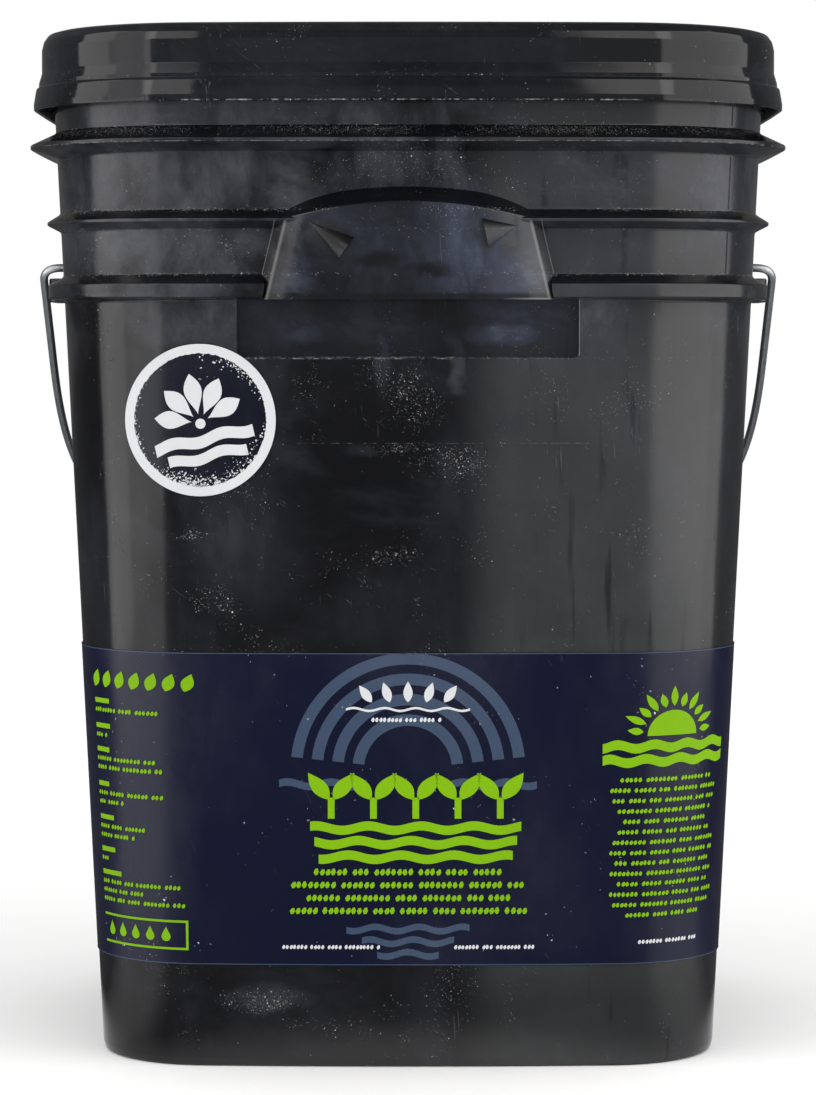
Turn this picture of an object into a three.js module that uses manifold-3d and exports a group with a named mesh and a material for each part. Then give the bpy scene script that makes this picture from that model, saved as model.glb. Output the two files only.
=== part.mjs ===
// Rectangular plastic pail with a press-on lid, a wire bail with a roller grip, a wrap label and a
// round sticker. Millimetres, +Z up. The origin is the centre of the base's underside, and the side
// with the finger grip faces -Y.
//
// Every wall follows one plan outline: four slightly bowed sides joined by four round corners. A
// section through the wall is drawn as [offset, height] pairs, where the offset is measured outward
// from that outline at the base, and is swept once round it.
import * as THREE from "three";
import { mergeVertices } from "three/addons/utils/BufferGeometryUtils.js";
import Module from "manifold-3d";

const wasm = await Module();
wasm.setup();

// ---- Driving dimensions -------------------------------------------------------------------------

// Plan outline of the base.
const halfWidth = 123.2;
const halfDepth = 112.5;
const cornerRadius = 44;
const sideBow = 5000; // radius of the bow of the two side walls
const frontBow = 1400; // and of the front and back walls

// Walls of the pail.
const wallLean = 0.05; // outward offset gained per millimetre of height
const wallThickness = 2.4;
const floorThickness = 2.6;
const rimTop = 402;
const rimBead = { under: 393, low: 394.4, high: 398.6, reach: 21.1 };
const baseEdge = [
  [-5, 0],
  [-1.6, 1.4],
];
const baseEdgeTop = 5.5;
const rimEdge = [
  [20, 401.4],
  [19.2, rimTop],
];
const floorEdge = [
  [-11, floorThickness],
  [-4.4, 5],
];
const floorEdgeTop = 10;

// Hoops round the pail below the lid, from the top down. Each has its heights at the wall (under,
// top) and at its edge (low, high), and how far its edge reaches.
const stackingRib = { under: 357.6, low: 360.8, high: 362.4, top: 367.2, reach: 28.5 };
const middleRib = { under: 327.8, low: 330.6, high: 331.8, top: 335, reach: 21.9 };
const bailRib = { under: 300.5, low: 301.3, high: 306.7, top: 310.1, reach: 21.5 };

// Finger grip in the front wall: a hood that is open below, over a pocket pressed into the wall.
const gripFace = 25; // offset of the hood's flat face
const gripBevel = 5; // width of its sloped border
const gripSlope = 8; // how far that border falls back
const gripTopHalf = 47.1;
const gripBottomHalf = 54.2;
const gripShoulder = 330.7;
const gripCrown = 337.6;
const pocketHalf = 66.1;
const pocketFloor = 278;
const pocketDepth = -1; // offset of the pocket's back wall
const pocketCorner = 7;
const clearForward = 60; // offset that clears all of the front wall, for cuts

// Two cone-shaped bosses on the hood, each from its tip to the middle of its wide end, as [x, z].
const gripCones = [
  { tip: [-37.8, 330.2], base: [-23.7, 320], radius: 5.2 },
  { tip: [42.2, 328.6], base: [29.6, 325.9], radius: 5.8 },
];
const coneFlattening = 0.45;
const coneFacets = 12;

// Ears and pivots of the bail, on the two side walls.
const pivotHeight = 315.2;
const pivotBore = 2.1;
const boreFacets = 16;
const bossFacets = 20;
const boreFloor = 138.6; // distance of the bore's blind end from the middle of the pail
const bossRadius = 8.5;
const bossFace = 144;
const earFace = 149.4;
const earHalf = 19;
const earTop = 310.5;
const earCorner = 4;

// Bail: a round wire bent down at both pivots, with a roller grip on its middle stretch.
const wireRadius = 1.7;
const wireSides = 10;
const wireTip = 139.1;
const elbowRadius = 8;
const armOut = 153.6; // distance of the arms from the middle of the pail
const armStraight = 62;
const loopDepth = 180; // from the pivots to the middle of the grip
const loopFlat = 50;
const rollerRadius = 10.6;
const collarRadius = 12;
const rollerHalf = 46;
const rollerCollar = 3.4;
const rollerBore = 2.2;
const rollerFacets = 24;
const collarSlope = 1.2; // length of the slope from collar to waist
const seatGap = 0.3; // clearance between pieces that touch

// Label and sticker, thin films on the wall.
const labelLow = 40.6;
const labelHigh = 163.4;
const labelSeam = 6;
const filmGap = 0.3;
const filmThickness = 0.3;
const stickerCentre = [-80.6, 253.9];
const stickerRadius = 29.7;
const stickerSegments = 22;

// Lid.
const lidTop = 407;
const lidPanelTop = 398.6;
const lidPanelUnder = 396.4;
const lidSkirtEdge = 376.3;
const gussetThickness = 1.4;
const cornerGussets = 5;
const wallGussets = 6;

// Facets of the plan outline: along each side wall, the front and back, and round each corner.
const sideFacets = 4;
const frontFacets = 8;
const cornerFacets = 7;

// ---- Plan outline -------------------------------------------------------------------------------

// The eight arcs of the outline, counterclockwise. Neighbours share their end normals, so an outline
// offset outward only needs larger radii.
function planArcs() {
  const sideX = halfWidth - sideBow;
  const endY = halfDepth - frontBow;
  const sideReach = sideBow - cornerRadius;
  const frontReach = frontBow - cornerRadius;
  const between = Math.hypot(sideX, endY);
  const along = (between ** 2 + sideReach ** 2 - frontReach ** 2) / (2 * between);
  const rise = Math.sqrt(sideReach ** 2 - along ** 2);
  const cx = sideX - (along * sideX + rise * endY) / between;
  const cy = (along * endY - rise * sideX) / between;
  const low = Math.atan2(cy, cx - sideX);
  const high = Math.atan2(cy - endY, cx);
  const arc = (radius, steps) => (x, y, from, to) => ({ x, y, radius, from, to, steps });
  const side = arc(sideBow, sideFacets);
  const front = arc(frontBow, frontFacets);
  const corner = arc(cornerRadius, cornerFacets);
  const turn = Math.PI;
  return [
    side(sideX, 0, -low, low),
    corner(cx, cy, low, high),
    front(0, endY, high, turn - high),
    corner(-cx, cy, turn - high, turn - low),
    side(-sideX, 0, turn - low, turn + low),
    corner(-cx, -cy, turn + low, turn + high),
    front(0, -endY, turn + high, 2 * turn - high),
    corner(cx, -cy, 2 * turn - high, 2 * turn - low),
  ];
}

// A place on the outline: where it is for any offset, and which way is along and outward.
function station(arc, angle) {
  const normal = [Math.cos(angle), Math.sin(angle)];
  const at = (offset) => [
    arc.x + (arc.radius + offset) * normal[0],
    arc.y + (arc.radius + offset) * normal[1],
  ];
  return { at, tangent: [-normal[1], normal[0]] };
}

const outlineArcs = planArcs();
const outline = outlineArcs.flatMap((arc) =>
  Array.from({ length: arc.steps }, (_, i) =>
    station(arc, arc.from + ((arc.to - arc.from) * i) / arc.steps),
  ),
);

// ---- Geometry helpers ---------------------------------------------------------------------------

function meshGeometry(positions, indices) {
  const geometry = new THREE.BufferGeometry();
  geometry.setAttribute("position", new THREE.Float32BufferAttribute(positions, 3));
  geometry.setIndex(indices);
  return geometry;
}

// Sweeps a section along stations, outer side upwards. Stations on the whole outline close on
// themselves; a strip of them gets two end caps. A section that is a ring closes on itself, and one
// that isn't is closed on the axis by a flat fan at each end.
function sweep(stations, section, { wholeTurn = true, ring = true } = {}) {
  const positions = stations.flatMap((place) =>
    section.flatMap(([offset, height]) => [...place.at(offset), height]),
  );
  const indices = [];
  const n = section.length;
  const turns = wholeTurn ? stations.length : stations.length - 1;
  const sides = ring ? n : n - 1;
  for (let i = 0; i < turns; i++) {
    const next = (i + 1) % stations.length;
    for (let j = 0; j < sides; j++) {
      const up = (j + 1) % n;
      const corners = [i * n + j, next * n + j, next * n + up, i * n + up];
      indices.push(corners[0], corners[1], corners[2], corners[0], corners[2], corners[3]);
    }
  }
  if (!ring) {
    const under = positions.length / 3;
    positions.push(0, 0, section[0][1], 0, 0, section[n - 1][1]);
    for (let i = 0; i < turns; i++) {
      const next = (i + 1) % stations.length;
      indices.push(under, next * n, i * n);
      indices.push(under + 1, i * n + n - 1, next * n + n - 1);
    }
  }
  if (!wholeTurn) {
    const last = (stations.length - 1) * n;
    for (let j = 1; j < n - 1; j++) {
      indices.push(0, j, j + 1);
      indices.push(last, last + j + 1, last + j);
    }
  }
  return meshGeometry(positions, indices);
}

function toSolid(geometry) {
  const bare = geometry.clone();
  bare.deleteAttribute("normal");
  bare.deleteAttribute("uv");
  const merged = mergeVertices(bare, 1e-4);
  return new wasm.Manifold(
    new wasm.Mesh({
      numProp: 3,
      vertProperties: new Float32Array(merged.attributes.position.array),
      triVerts: new Uint32Array(merged.index.array),
    }),
  );
}

function fromSolid(solid) {
  const mesh = solid.getMesh();
  return meshGeometry([...mesh.vertProperties], [...mesh.triVerts]);
}

// Extrudes a shape drawn as [x, z] along Y, from `back` forward to `front`. A bevel narrows the
// shape towards its front.
function extrudeForward(shape, back, front, bevel = null) {
  const options = { depth: back - front, bevelEnabled: false, curveSegments: 8 };
  if (bevel) {
    options.depth -= 2 * bevel.fall;
    options.bevelEnabled = true;
    options.bevelSegments = 1;
    options.bevelSize = bevel.width;
    options.bevelThickness = bevel.fall;
  }
  const geometry = new THREE.ExtrudeGeometry(shape, options);
  const start = bevel ? bevel.fall : 0;
  return geometry.translate(0, 0, start - back).rotateX(Math.PI / 2);
}

// A rectangle drawn as [x, z] with round lower corners.
function pocketShape(half, low, high, radius) {
  const shape = new THREE.Shape();
  shape.moveTo(-half, high);
  shape.lineTo(-half, low + radius);
  shape.quadraticCurveTo(-half, low, -half + radius, low);
  shape.lineTo(half - radius, low);
  shape.quadraticCurveTo(half, low, half, low + radius);
  shape.lineTo(half, high);
  shape.closePath();
  return shape;
}

// ---- Pail ---------------------------------------------------------------------------------------

const wallAt = (height) => wallLean * height;
const wallPoint = (height) => [wallAt(height), height];

function ribSection(rib) {
  return [wallPoint(rib.under), [rib.reach, rib.low], [rib.reach, rib.high], wallPoint(rib.top)];
}

// The pail's outer surface, from the base's edge to the rim, as a filled block.
function pailBlock() {
  const section = [
    ...baseEdge,
    wallPoint(baseEdgeTop),
    ...ribSection(bailRib),
    ...ribSection(middleRib),
    ...ribSection(stackingRib),
    wallPoint(rimBead.under),
    [rimBead.reach, rimBead.low],
    [rimBead.reach, rimBead.high],
    ...rimEdge,
  ];
  return toSolid(sweep(outline, section, { ring: false }));
}

// The space inside the pail, from the floor to just above the rim.
function pailSpace() {
  const above = rimTop + 2;
  const section = [
    ...floorEdge,
    [wallAt(floorEdgeTop) - wallThickness, floorEdgeTop],
    [wallAt(above) - wallThickness, above],
  ];
  return toSolid(sweep(outline, section, { ring: false }));
}

// The hood's outline on its face, or inset from it, closed below at `low`.
function hoodShape(inset, low) {
  const bottom = gripBottomHalf - inset;
  const top = gripTopHalf - inset;
  const shoulder = gripShoulder - inset;
  const crown = gripCrown - inset;
  const shape = new THREE.Shape();
  shape.moveTo(-bottom, low);
  shape.lineTo(-top, shoulder);
  shape.quadraticCurveTo(0, 2 * crown - shoulder, top, shoulder);
  shape.lineTo(bottom, low);
  shape.closePath();
  return shape;
}

function gripCone({ tip, base, radius }) {
  const run = [tip[0] - base[0], tip[1] - base[1]];
  const length = Math.hypot(run[0], run[1]);
  const cone = new THREE.ConeGeometry(radius, length, coneFacets);
  cone.scale(1, 1, coneFlattening);
  cone.rotateZ(Math.atan2(-run[0], run[1]));
  cone.rotateX(Math.PI / 2);
  cone.translate((tip[0] + base[0]) / 2, -(halfDepth + gripFace), (tip[1] + base[1]) / 2);
  return toSolid(cone);
}

// A round bar along X, from one distance from the middle of the pail to another.
function sideBar(side, radius, from, to, facets) {
  const bar = new THREE.CylinderGeometry(radius, radius, to - from, facets);
  bar.rotateZ(Math.PI / 2);
  bar.translate((side * (from + to)) / 2, 0, pivotHeight);
  return toSolid(bar);
}

// The block under each pivot, a thicker stretch of the bail rib with round outer corners.
function earBlock(side) {
  const from = halfWidth + wallAt(bailRib.under) - 1;
  const shape = new THREE.Shape();
  shape.moveTo(from, -earHalf);
  shape.lineTo(earFace - earCorner, -earHalf);
  shape.quadraticCurveTo(earFace, -earHalf, earFace, earCorner - earHalf);
  shape.lineTo(earFace, earHalf - earCorner);
  shape.quadraticCurveTo(earFace, earHalf, earFace - earCorner, earHalf);
  shape.lineTo(from, earHalf);
  shape.closePath();
  const depth = earTop - bailRib.under;
  const options = { depth, bevelEnabled: false, curveSegments: 4 };
  const block = new THREE.ExtrudeGeometry(shape, options);
  block.translate(0, 0, bailRib.under);
  return toSolid(side > 0 ? block : block.rotateZ(Math.PI));
}

function buildPail() {
  const front = (offset) => -(halfDepth + offset);
  const cutFront = front(clearForward);
  let block = pailBlock();
  // The hood is drawn past its open lower edge, so that its bevel runs out below, and is cut off there.
  const overrun = hoodShape(0, pocketFloor);
  const bevel = { width: gripBevel, fall: gripSlope };
  const hood = toSolid(extrudeForward(overrun, 0, front(gripFace), bevel));
  const belowHood = pocketShape(halfWidth, 0, bailRib.under, pocketCorner);
  block = block.add(hood.subtract(toSolid(extrudeForward(belowHood, 0, cutFront))));
  for (const cone of gripCones) block = block.add(gripCone(cone));
  for (const side of [-1, 1]) {
    block = block.add(earBlock(side));
    block = block.add(sideBar(side, bossRadius, halfWidth, bossFace, bossFacets));
  }
  const shellBack = front(pocketDepth - wallThickness);
  const shellShapes = [
    pocketShape(
      pocketHalf + wallThickness,
      pocketFloor - wallThickness,
      bailRib.under + wallThickness,
      pocketCorner + wallThickness,
    ),
    hoodShape(0, bailRib.under - wallThickness),
  ];
  const shells = shellShapes.map((shape) => toSolid(extrudeForward(shape, shellBack, cutFront)));
  const shell = shells[0].add(shells[1]).intersect(block);
  let pail = block.subtract(pailSpace()).add(shell);
  const pocket = pocketShape(pocketHalf, pocketFloor, bailRib.under, pocketCorner);
  pail = pail.subtract(toSolid(extrudeForward(pocket, front(pocketDepth), cutFront)));
  const hollow = hoodShape(wallThickness, pocketFloor + pocketCorner);
  const hollowFront = front(gripFace - wallThickness);
  pail = pail.subtract(toSolid(extrudeForward(hollow, front(pocketDepth), hollowFront)));
  for (const side of [-1, 1]) {
    pail = pail.subtract(sideBar(side, pivotBore, boreFloor, earFace, boreFacets));
  }
  return fromSolid(pail);
}

// ---- Lid and gasket -----------------------------------------------------------------------------

// A panel sunk inside a raised rim, a channel over the pail's rim with a locking bead, and a skirt that
// steps and flares outward. The section runs from the middle of the underside to the middle of the
// top.
function lidBlock() {
  const section = [
    [10.3, lidPanelUnder],
    [12.2, 403.1],
    [13.4, 404],
    [18.2, 404],
    [20.2, 402.8],
    [21.7, 399.8],
    [21.6, 394.2],
    [20.2, 392.6],
    [20.2, 391.1],
    [21.4, 389.7],
    [22.2, 387.2],
    [23.7, 384.6],
    [25.5, lidSkirtEdge],
    [27.1, lidSkirtEdge],
    [27.2, 378.8],
    [26.2, 384.8],
    [25.1, 385.6],
    [25.1, 387.2],
    [23.9, 391.2],
    [23.9, 400.4],
    [23.1, 403.6],
    [21.2, 406.2],
    [18.2, lidTop],
    [11.6, lidTop],
    [9.9, 405.6],
    [8, lidPanelTop],
  ];
  return toSolid(sweep(outline, section, { ring: false }));
}

// A thin upright web between the skirt and the locking bead.
function gusset(place) {
  const section = [
    [22.3, 381.2],
    [26.2, 378.5],
    [26.2, 379.8],
    [24.2, 385.8],
    [22.3, 388.4],
  ];
  const shifted = (shift) => ({
    at: (offset) => place.at(offset).map((value, axis) => value + shift * place.tangent[axis]),
  });
  const half = gussetThickness / 2;
  return toSolid(sweep([shifted(-half), shifted(half)], section, { wholeTurn: false }));
}

function buildLid() {
  let lid = lidBlock();
  for (const arc of outlineArcs) {
    const count = arc.radius === cornerRadius ? cornerGussets : wallGussets;
    const pitch = (arc.to - arc.from) / count;
    for (let i = 0; i < count; i++) {
      lid = lid.add(gusset(station(arc, arc.from + pitch * (i + 0.5))));
    }
  }
  return fromSolid(lid);
}

// A soft flat ring that the rim presses into, at the top of the lid's channel.
function buildGasket() {
  const low = rimTop + seatGap;
  const section = [
    [15.6, low],
    [18.4, low],
    [18.4, low + 1.3],
    [15.6, low + 1.3],
  ];
  return sweep(outline, section);
}

// ---- Bail ---------------------------------------------------------------------------------------

// A path of straight and bent stretches, each with its own number of steps.
class BentPath extends THREE.Curve {
  constructor(stretches) {
    super();
    this.stretches = stretches;
    this.steps = stretches.reduce((sum, stretch) => sum + stretch.steps, 0);
  }

  getPoint(t, target = new THREE.Vector3()) {
    let step = t * this.steps;
    for (const { curve, steps } of this.stretches) {
      if (step <= steps) return curve.getPoint(step / steps, target);
      step -= steps;
    }
    return this.stretches[this.stretches.length - 1].curve.getPoint(1, target);
  }

  getPointAt(t, target) {
    return this.getPoint(t, target);
  }

  getTangentAt(t, target) {
    return this.getTangent(t, target);
  }
}

// The wire's centre line, hanging straight down from the pivots at the origin's height.
function bailPath() {
  const p = (x, z) => new THREE.Vector3(x, 0, z);
  const line = (a, b) => ({ curve: new THREE.LineCurve3(a, b), steps: 1 });
  const half = (s) => {
    const elbow = new THREE.QuadraticBezierCurve3(
      p(s * (armOut - elbowRadius), 0),
      p(s * armOut, 0),
      p(s * armOut, -elbowRadius),
    );
    const bend = new THREE.CubicBezierCurve3(
      p(s * armOut, -armStraight),
      p(s * armOut, -loopDepth * 0.9),
      p(s * armOut * 0.88, -loopDepth),
      p(s * loopFlat, -loopDepth),
    );
    return { elbow, bend };
  };
  const reversed = (curve) => {
    const points = ["v3", "v2", "v1", "v0"].filter((key) => curve[key]).map((key) => curve[key]);
    return new curve.constructor(...points);
  };
  const left = half(-1);
  const right = half(1);
  return new BentPath([
    line(p(-wireTip, 0), p(elbowRadius - armOut, 0)),
    { curve: left.elbow, steps: 5 },
    line(p(-armOut, -elbowRadius), p(-armOut, -armStraight)),
    { curve: left.bend, steps: 14 },
    line(p(-loopFlat, -loopDepth), p(loopFlat, -loopDepth)),
    { curve: reversed(right.bend), steps: 14 },
    line(p(armOut, -armStraight), p(armOut, -elbowRadius)),
    { curve: reversed(right.elbow), steps: 5 },
    line(p(armOut - elbowRadius, 0), p(wireTip, 0)),
  ]);
}

function buildWire() {
  const path = bailPath();
  const circle = new THREE.Shape();
  circle.absarc(0, 0, wireRadius, 0, 2 * Math.PI);
  return new THREE.ExtrudeGeometry(circle, {
    extrudePath: path,
    steps: path.steps,
    curveSegments: wireSides,
    bevelEnabled: false,
  });
}

function buildRoller() {
  const waist = rollerHalf - rollerCollar;
  const section = [
    [rollerBore, -rollerHalf],
    [collarRadius, -rollerHalf],
    [collarRadius, -waist],
    [rollerRadius, collarSlope - waist],
    [rollerRadius, waist - collarSlope],
    [collarRadius, waist],
    [collarRadius, rollerHalf],
    [rollerBore, rollerHalf],
    [rollerBore, -rollerHalf],
  ];
  const roller = new THREE.LatheGeometry(
    section.map(([radius, along]) => new THREE.Vector2(radius, along)),
    rollerFacets,
  );
  return roller.rotateZ(Math.PI / 2).translate(0, 0, -loopDepth);
}

// How far the hanging bail leans back, with its roller's collars resting on the back wall.
function restingLean() {
  const slant = Math.atan(wallLean);
  const wallAtPivot = halfDepth + wallAt(pivotHeight);
  const stand = (collarRadius + seatGap) / Math.cos(slant);
  return Math.asin(((wallAtPivot + stand) * Math.cos(slant)) / loopDepth) - slant;
}

// ---- Films --------------------------------------------------------------------------------------

// The section of a film that lies on the wall between two heights.
function filmSection(low, high) {
  const inner = filmGap;
  const outer = filmGap + filmThickness;
  return [
    [wallAt(low) + inner, low],
    [wallAt(low) + outer, low],
    [wallAt(high) + outer, high],
    [wallAt(high) + inner, high],
  ];
}

// One strip round the pail, with its ends butted at the middle of the back.
function buildLabel() {
  const back = outlineArcs[2];
  const half = labelSeam / 2 / frontBow;
  const middle = Math.PI / 2;
  const seam = sideFacets + cornerFacets + frontFacets / 2;
  const strip = [...outline.slice(seam + 1), ...outline.slice(0, seam)];
  const ends = [station(back, middle + half), station(back, middle - half)];
  const section = filmSection(labelLow, labelHigh);
  return sweep([ends[0], ...strip, ends[1]], section, { wholeTurn: false });
}

// A disc seen from the front, bent round the wall towards the left corner.
function buildSticker() {
  const [x, z] = stickerCentre;
  const circle = new THREE.Shape();
  circle.absarc(x, z, stickerRadius, 0, 2 * Math.PI);
  const depth = halfDepth * 2;
  const options = { depth, bevelEnabled: false, curveSegments: stickerSegments };
  const bar = new THREE.ExtrudeGeometry(circle, options).rotateX(Math.PI / 2);
  const section = filmSection(z - 2 * stickerRadius, z + 2 * stickerRadius);
  return fromSolid(toSolid(sweep(outline, section)).intersect(toSolid(bar)));
}

// ---- Scene --------------------------------------------------------------------------------------

const finishes = {
  pailPlastic: { color: 0x111214, roughness: 0.28, metalness: 0 },
  lidPlastic: { color: 0x121315, roughness: 0.24, metalness: 0 },
  gasketRubber: { color: 0x6d7072, roughness: 0.85, metalness: 0 },
  galvanised: { color: 0xa9afb4, roughness: 0.35, metalness: 1 },
  gripPlastic: { color: 0x17181a, roughness: 0.5, metalness: 0 },
  labelFilm: { color: 0x10172a, roughness: 0.3, metalness: 0 },
  stickerFilm: { color: 0xe6e9ec, roughness: 0.4, metalness: 0 },
};

function named(name, geometry, finish) {
  const flat = geometry.index ? geometry.toNonIndexed() : geometry;
  flat.computeVertexNormals();
  const mesh = new THREE.Mesh(flat, new THREE.MeshStandardMaterial(finish));
  mesh.name = name;
  return mesh;
}

const pailGroup = new THREE.Group();
pailGroup.add(
  named("pail", buildPail(), finishes.pailPlastic),
  named("lid", buildLid(), finishes.lidPlastic),
  named("lid_gasket", buildGasket(), finishes.gasketRubber),
  named("label_wrap", buildLabel(), finishes.labelFilm),
  named("round_sticker", buildSticker(), finishes.stickerFilm),
);

const bail = new THREE.Group();
bail.position.z = pivotHeight;
bail.rotation.x = restingLean();
bail.add(
  named("bail_wire", buildWire(), finishes.galvanised),
  named("bail_roller", buildRoller(), finishes.gripPlastic),
);
pailGroup.add(bail);

export default pailGroup;
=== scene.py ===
import math
import random
from contextlib import contextmanager

import bmesh
import bpy
from mathutils import Matrix, Vector


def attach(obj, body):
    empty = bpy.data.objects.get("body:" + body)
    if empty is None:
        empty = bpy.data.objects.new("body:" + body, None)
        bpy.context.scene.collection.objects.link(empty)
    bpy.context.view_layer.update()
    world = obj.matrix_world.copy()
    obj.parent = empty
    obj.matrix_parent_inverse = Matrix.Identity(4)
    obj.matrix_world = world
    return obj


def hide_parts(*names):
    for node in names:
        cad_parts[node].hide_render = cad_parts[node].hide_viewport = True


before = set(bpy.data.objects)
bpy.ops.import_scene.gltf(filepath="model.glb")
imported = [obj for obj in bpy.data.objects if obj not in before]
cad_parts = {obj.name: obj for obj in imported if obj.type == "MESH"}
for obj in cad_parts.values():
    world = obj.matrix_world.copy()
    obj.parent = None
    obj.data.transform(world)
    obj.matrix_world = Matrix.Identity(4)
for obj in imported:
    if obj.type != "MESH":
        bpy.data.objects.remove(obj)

scene = bpy.context.scene
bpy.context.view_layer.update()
mm = 0.001
tiny = 1e-6
print("frame loaded:", ", ".join(sorted(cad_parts)))

# Plan outline of the walls: four bowed sides joined by four round corners, in metres. A wall's
# place is its run round the base from the front middle, its offset outward and its height.
plan = {
    "halfWidth": 0.1232,
    "halfDepth": 0.1125,
    "cornerRadius": 0.044,
    "sideBow": 5.0,
    "frontBow": 1.4,
    "wallLean": 0.05,
}


def solvePlan(sizes):
    sideX = sizes["halfWidth"] - sizes["sideBow"]
    frontY = sizes["halfDepth"] - sizes["frontBow"]
    sideReach = sizes["sideBow"] - sizes["cornerRadius"]
    frontReach = sizes["frontBow"] - sizes["cornerRadius"]
    between = math.hypot(sideX, frontY)
    along = (between**2 + sideReach**2 - frontReach**2) / (2 * between)
    rise = math.sqrt(sideReach**2 - along**2)
    cornerX = sideX - (along * sideX + rise * frontY) / between
    cornerY = (along * frontY - rise * sideX) / between
    frontTurn = math.atan2(cornerX, cornerY - frontY)
    cornerTurn = math.atan2(cornerX - sideX, cornerY)
    return {
        "cornerX": cornerX,
        "cornerY": cornerY,
        "sideX": sideX,
        "frontY": frontY,
        "frontTurn": frontTurn,
        "cornerTurn": cornerTurn,
        "frontRun": sizes["frontBow"] * frontTurn,
        "cornerRun": sizes["cornerRadius"] * (cornerTurn - frontTurn),
        "sideRun": sizes["sideBow"] * (math.pi / 2 - cornerTurn),
    }


solved = solvePlan(plan)
quarterRun = solved["frontRun"] + solved["cornerRun"] + solved["sideRun"]


# node and mesh helpers

# A socket knows its own node tree, so the helpers that take one find the tree by it.
def treeOf(values):
    return next(value.id_data for value in values if isinstance(value, bpy.types.NodeSocket))


def put(value, socket):
    if isinstance(value, bpy.types.NodeSocket):
        socket.id_data.links.new(value, socket)
    else:
        socket.default_value = value


def addNode(tree, kind, inputs=None, **settings):
    node = tree.nodes.new(kind)
    for key, value in settings.items():
        setattr(node, key, value)
    for key, value in (inputs or {}).items():
        put(value, node.inputs[key])
    return node


def calc(operation, *values):
    inputs = dict(enumerate(values))
    return addNode(treeOf(values), "ShaderNodeMath", inputs, operation=operation).outputs[0]


def chained(operation, first, *others):
    for value in others:
        first = calc(operation, first, value)
    return first


def times(*values):
    return chained("MULTIPLY", *values)


def plus(*values):
    return chained("ADD", *values)


def most(*values):
    return chained("MAXIMUM", *values)


# A mask of the stretch between two places, in millimetres.
def between(value, low, high):
    above, below = calc("GREATER_THAN", value, low * mm), calc("LESS_THAN", value, high * mm)
    return times(above, below)


def vectorCalc(operation, *values):
    inputs = dict(enumerate(values))
    return addNode(treeOf(values), "ShaderNodeVectorMath", inputs, operation=operation).outputs[0]


def lengthOf(vector):
    return addNode(vector.id_data, "ShaderNodeVectorMath", {0: vector}, operation="LENGTH").outputs["Value"]


def apart(vector):
    return addNode(vector.id_data, "ShaderNodeSeparateXYZ", {0: vector}).outputs


def together(x, y, z):
    return addNode(treeOf((x, y, z)), "ShaderNodeCombineXYZ", {0: x, 1: y, 2: z}).outputs[0]


def noise(place, scale, detail, roughness=0.5, distortion=0.0):
    inputs = {"Vector": place, "Scale": scale, "Detail": detail, "Roughness": roughness}
    return addNode(place.id_data, "ShaderNodeTexNoise", {**inputs, "Distortion": distortion}).outputs


def switched(choice, off, on):
    inputs = {0: choice, 1: off, 2: on}
    return addNode(choice.id_data, "GeometryNodeSwitch", inputs, input_type="FLOAT").outputs[0]


def mapped(value, low, high, toLow=0.0, toHigh=1.0, smooth=False):
    inputs = {0: value, 1: low, 2: high, 3: toLow, 4: toHigh}
    kind = "SMOOTHSTEP" if smooth else "LINEAR"
    return addNode(value.id_data, "ShaderNodeMapRange", inputs, interpolation_type=kind).outputs[0]


def newTree(name, kind, inputs, outputs):
    tree = bpy.data.node_groups.new(name, kind)
    for direction, sockets in (("INPUT", inputs), ("OUTPUT", outputs)):
        for label, socketType, *default in sockets:
            item = tree.interface.new_socket(label, in_out=direction, socket_type="NodeSocket" + socketType)
            if default:
                item.default_value = default[0]
    return tree, tree.nodes.new("NodeGroupInput").outputs, tree.nodes.new("NodeGroupOutput").inputs


def newShaper(name, *inputs):
    sockets = [("Geometry", "Geometry"), *inputs, ("Material", "Material")]
    return newTree(name, "GeometryNodeTree", sockets, [("Geometry", "Geometry")])


def newMask(name, inputs, *outputs):
    sockets = [("Vector", "Vector"), *inputs]
    return newTree(name, "ShaderNodeTree", sockets, [(label, "Float") for label in outputs])


def newObject(name, verts, edges=(), faces=()):
    mesh = bpy.data.meshes.new(name)
    mesh.from_pydata(verts, edges, faces)
    piece = bpy.data.objects.new(name, mesh)
    scene.collection.objects.link(piece)
    return piece


# A mesh opened for edits, which go back into the piece.
@contextmanager
def edited(piece):
    work = bmesh.new()
    work.from_mesh(piece.data)
    yield work
    work.to_mesh(piece.data)
    work.free()


def objectFrom(name, work):
    piece = newObject(name, [])
    work.to_mesh(piece.data)
    work.free()
    return piece


# Faces of a prism whose two ends are the first and the second half of its points.
def prismFaces(count):
    sides = [[i, i + count, (i + 1) % count + count, (i + 1) % count] for i in range(count)]
    return [list(range(count)), list(range(2 * count - 1, count - 1, -1)), *sides]


# Faces of a grid of points that are listed column by column.
def gridFaces(columns, rows):
    corners = [i * (rows + 1) + j for i in range(columns) for j in range(rows)]
    return [[a, a + rows + 1, a + rows + 2, a + 1] for a in corners]


# Applies a piece's modifiers, so that it ends as a plain mesh.
def settle(piece):
    graph = bpy.context.evaluated_depsgraph_get()
    mesh = bpy.data.meshes.new_from_object(
        piece.evaluated_get(graph), preserve_all_data_layers=True, depsgraph=graph
    )
    piece.modifiers.clear()
    piece.data = mesh
    mesh.name = piece.name
    return piece


def runTree(piece, tree, values):
    modifier = piece.modifiers.new(tree.name, "NODES")
    modifier.node_group = tree
    for item in tree.interface.items_tree:
        if item.in_out == "INPUT" and item.name in values:
            modifier[item.identifier] = values[item.name]
    return settle(piece)


# Smooth faces with sharp edges wherever the surface turns by more than the angle.
def shade(piece, degrees=28):
    with edited(piece) as work:
        bmesh.ops.dissolve_degenerate(work, dist=tiny, edges=work.edges)
        for edge in work.edges:
            edge.smooth = edge.calc_face_angle(0) < math.radians(degrees)
        for face in work.faces:
            face.smooth = True
    return piece


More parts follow.
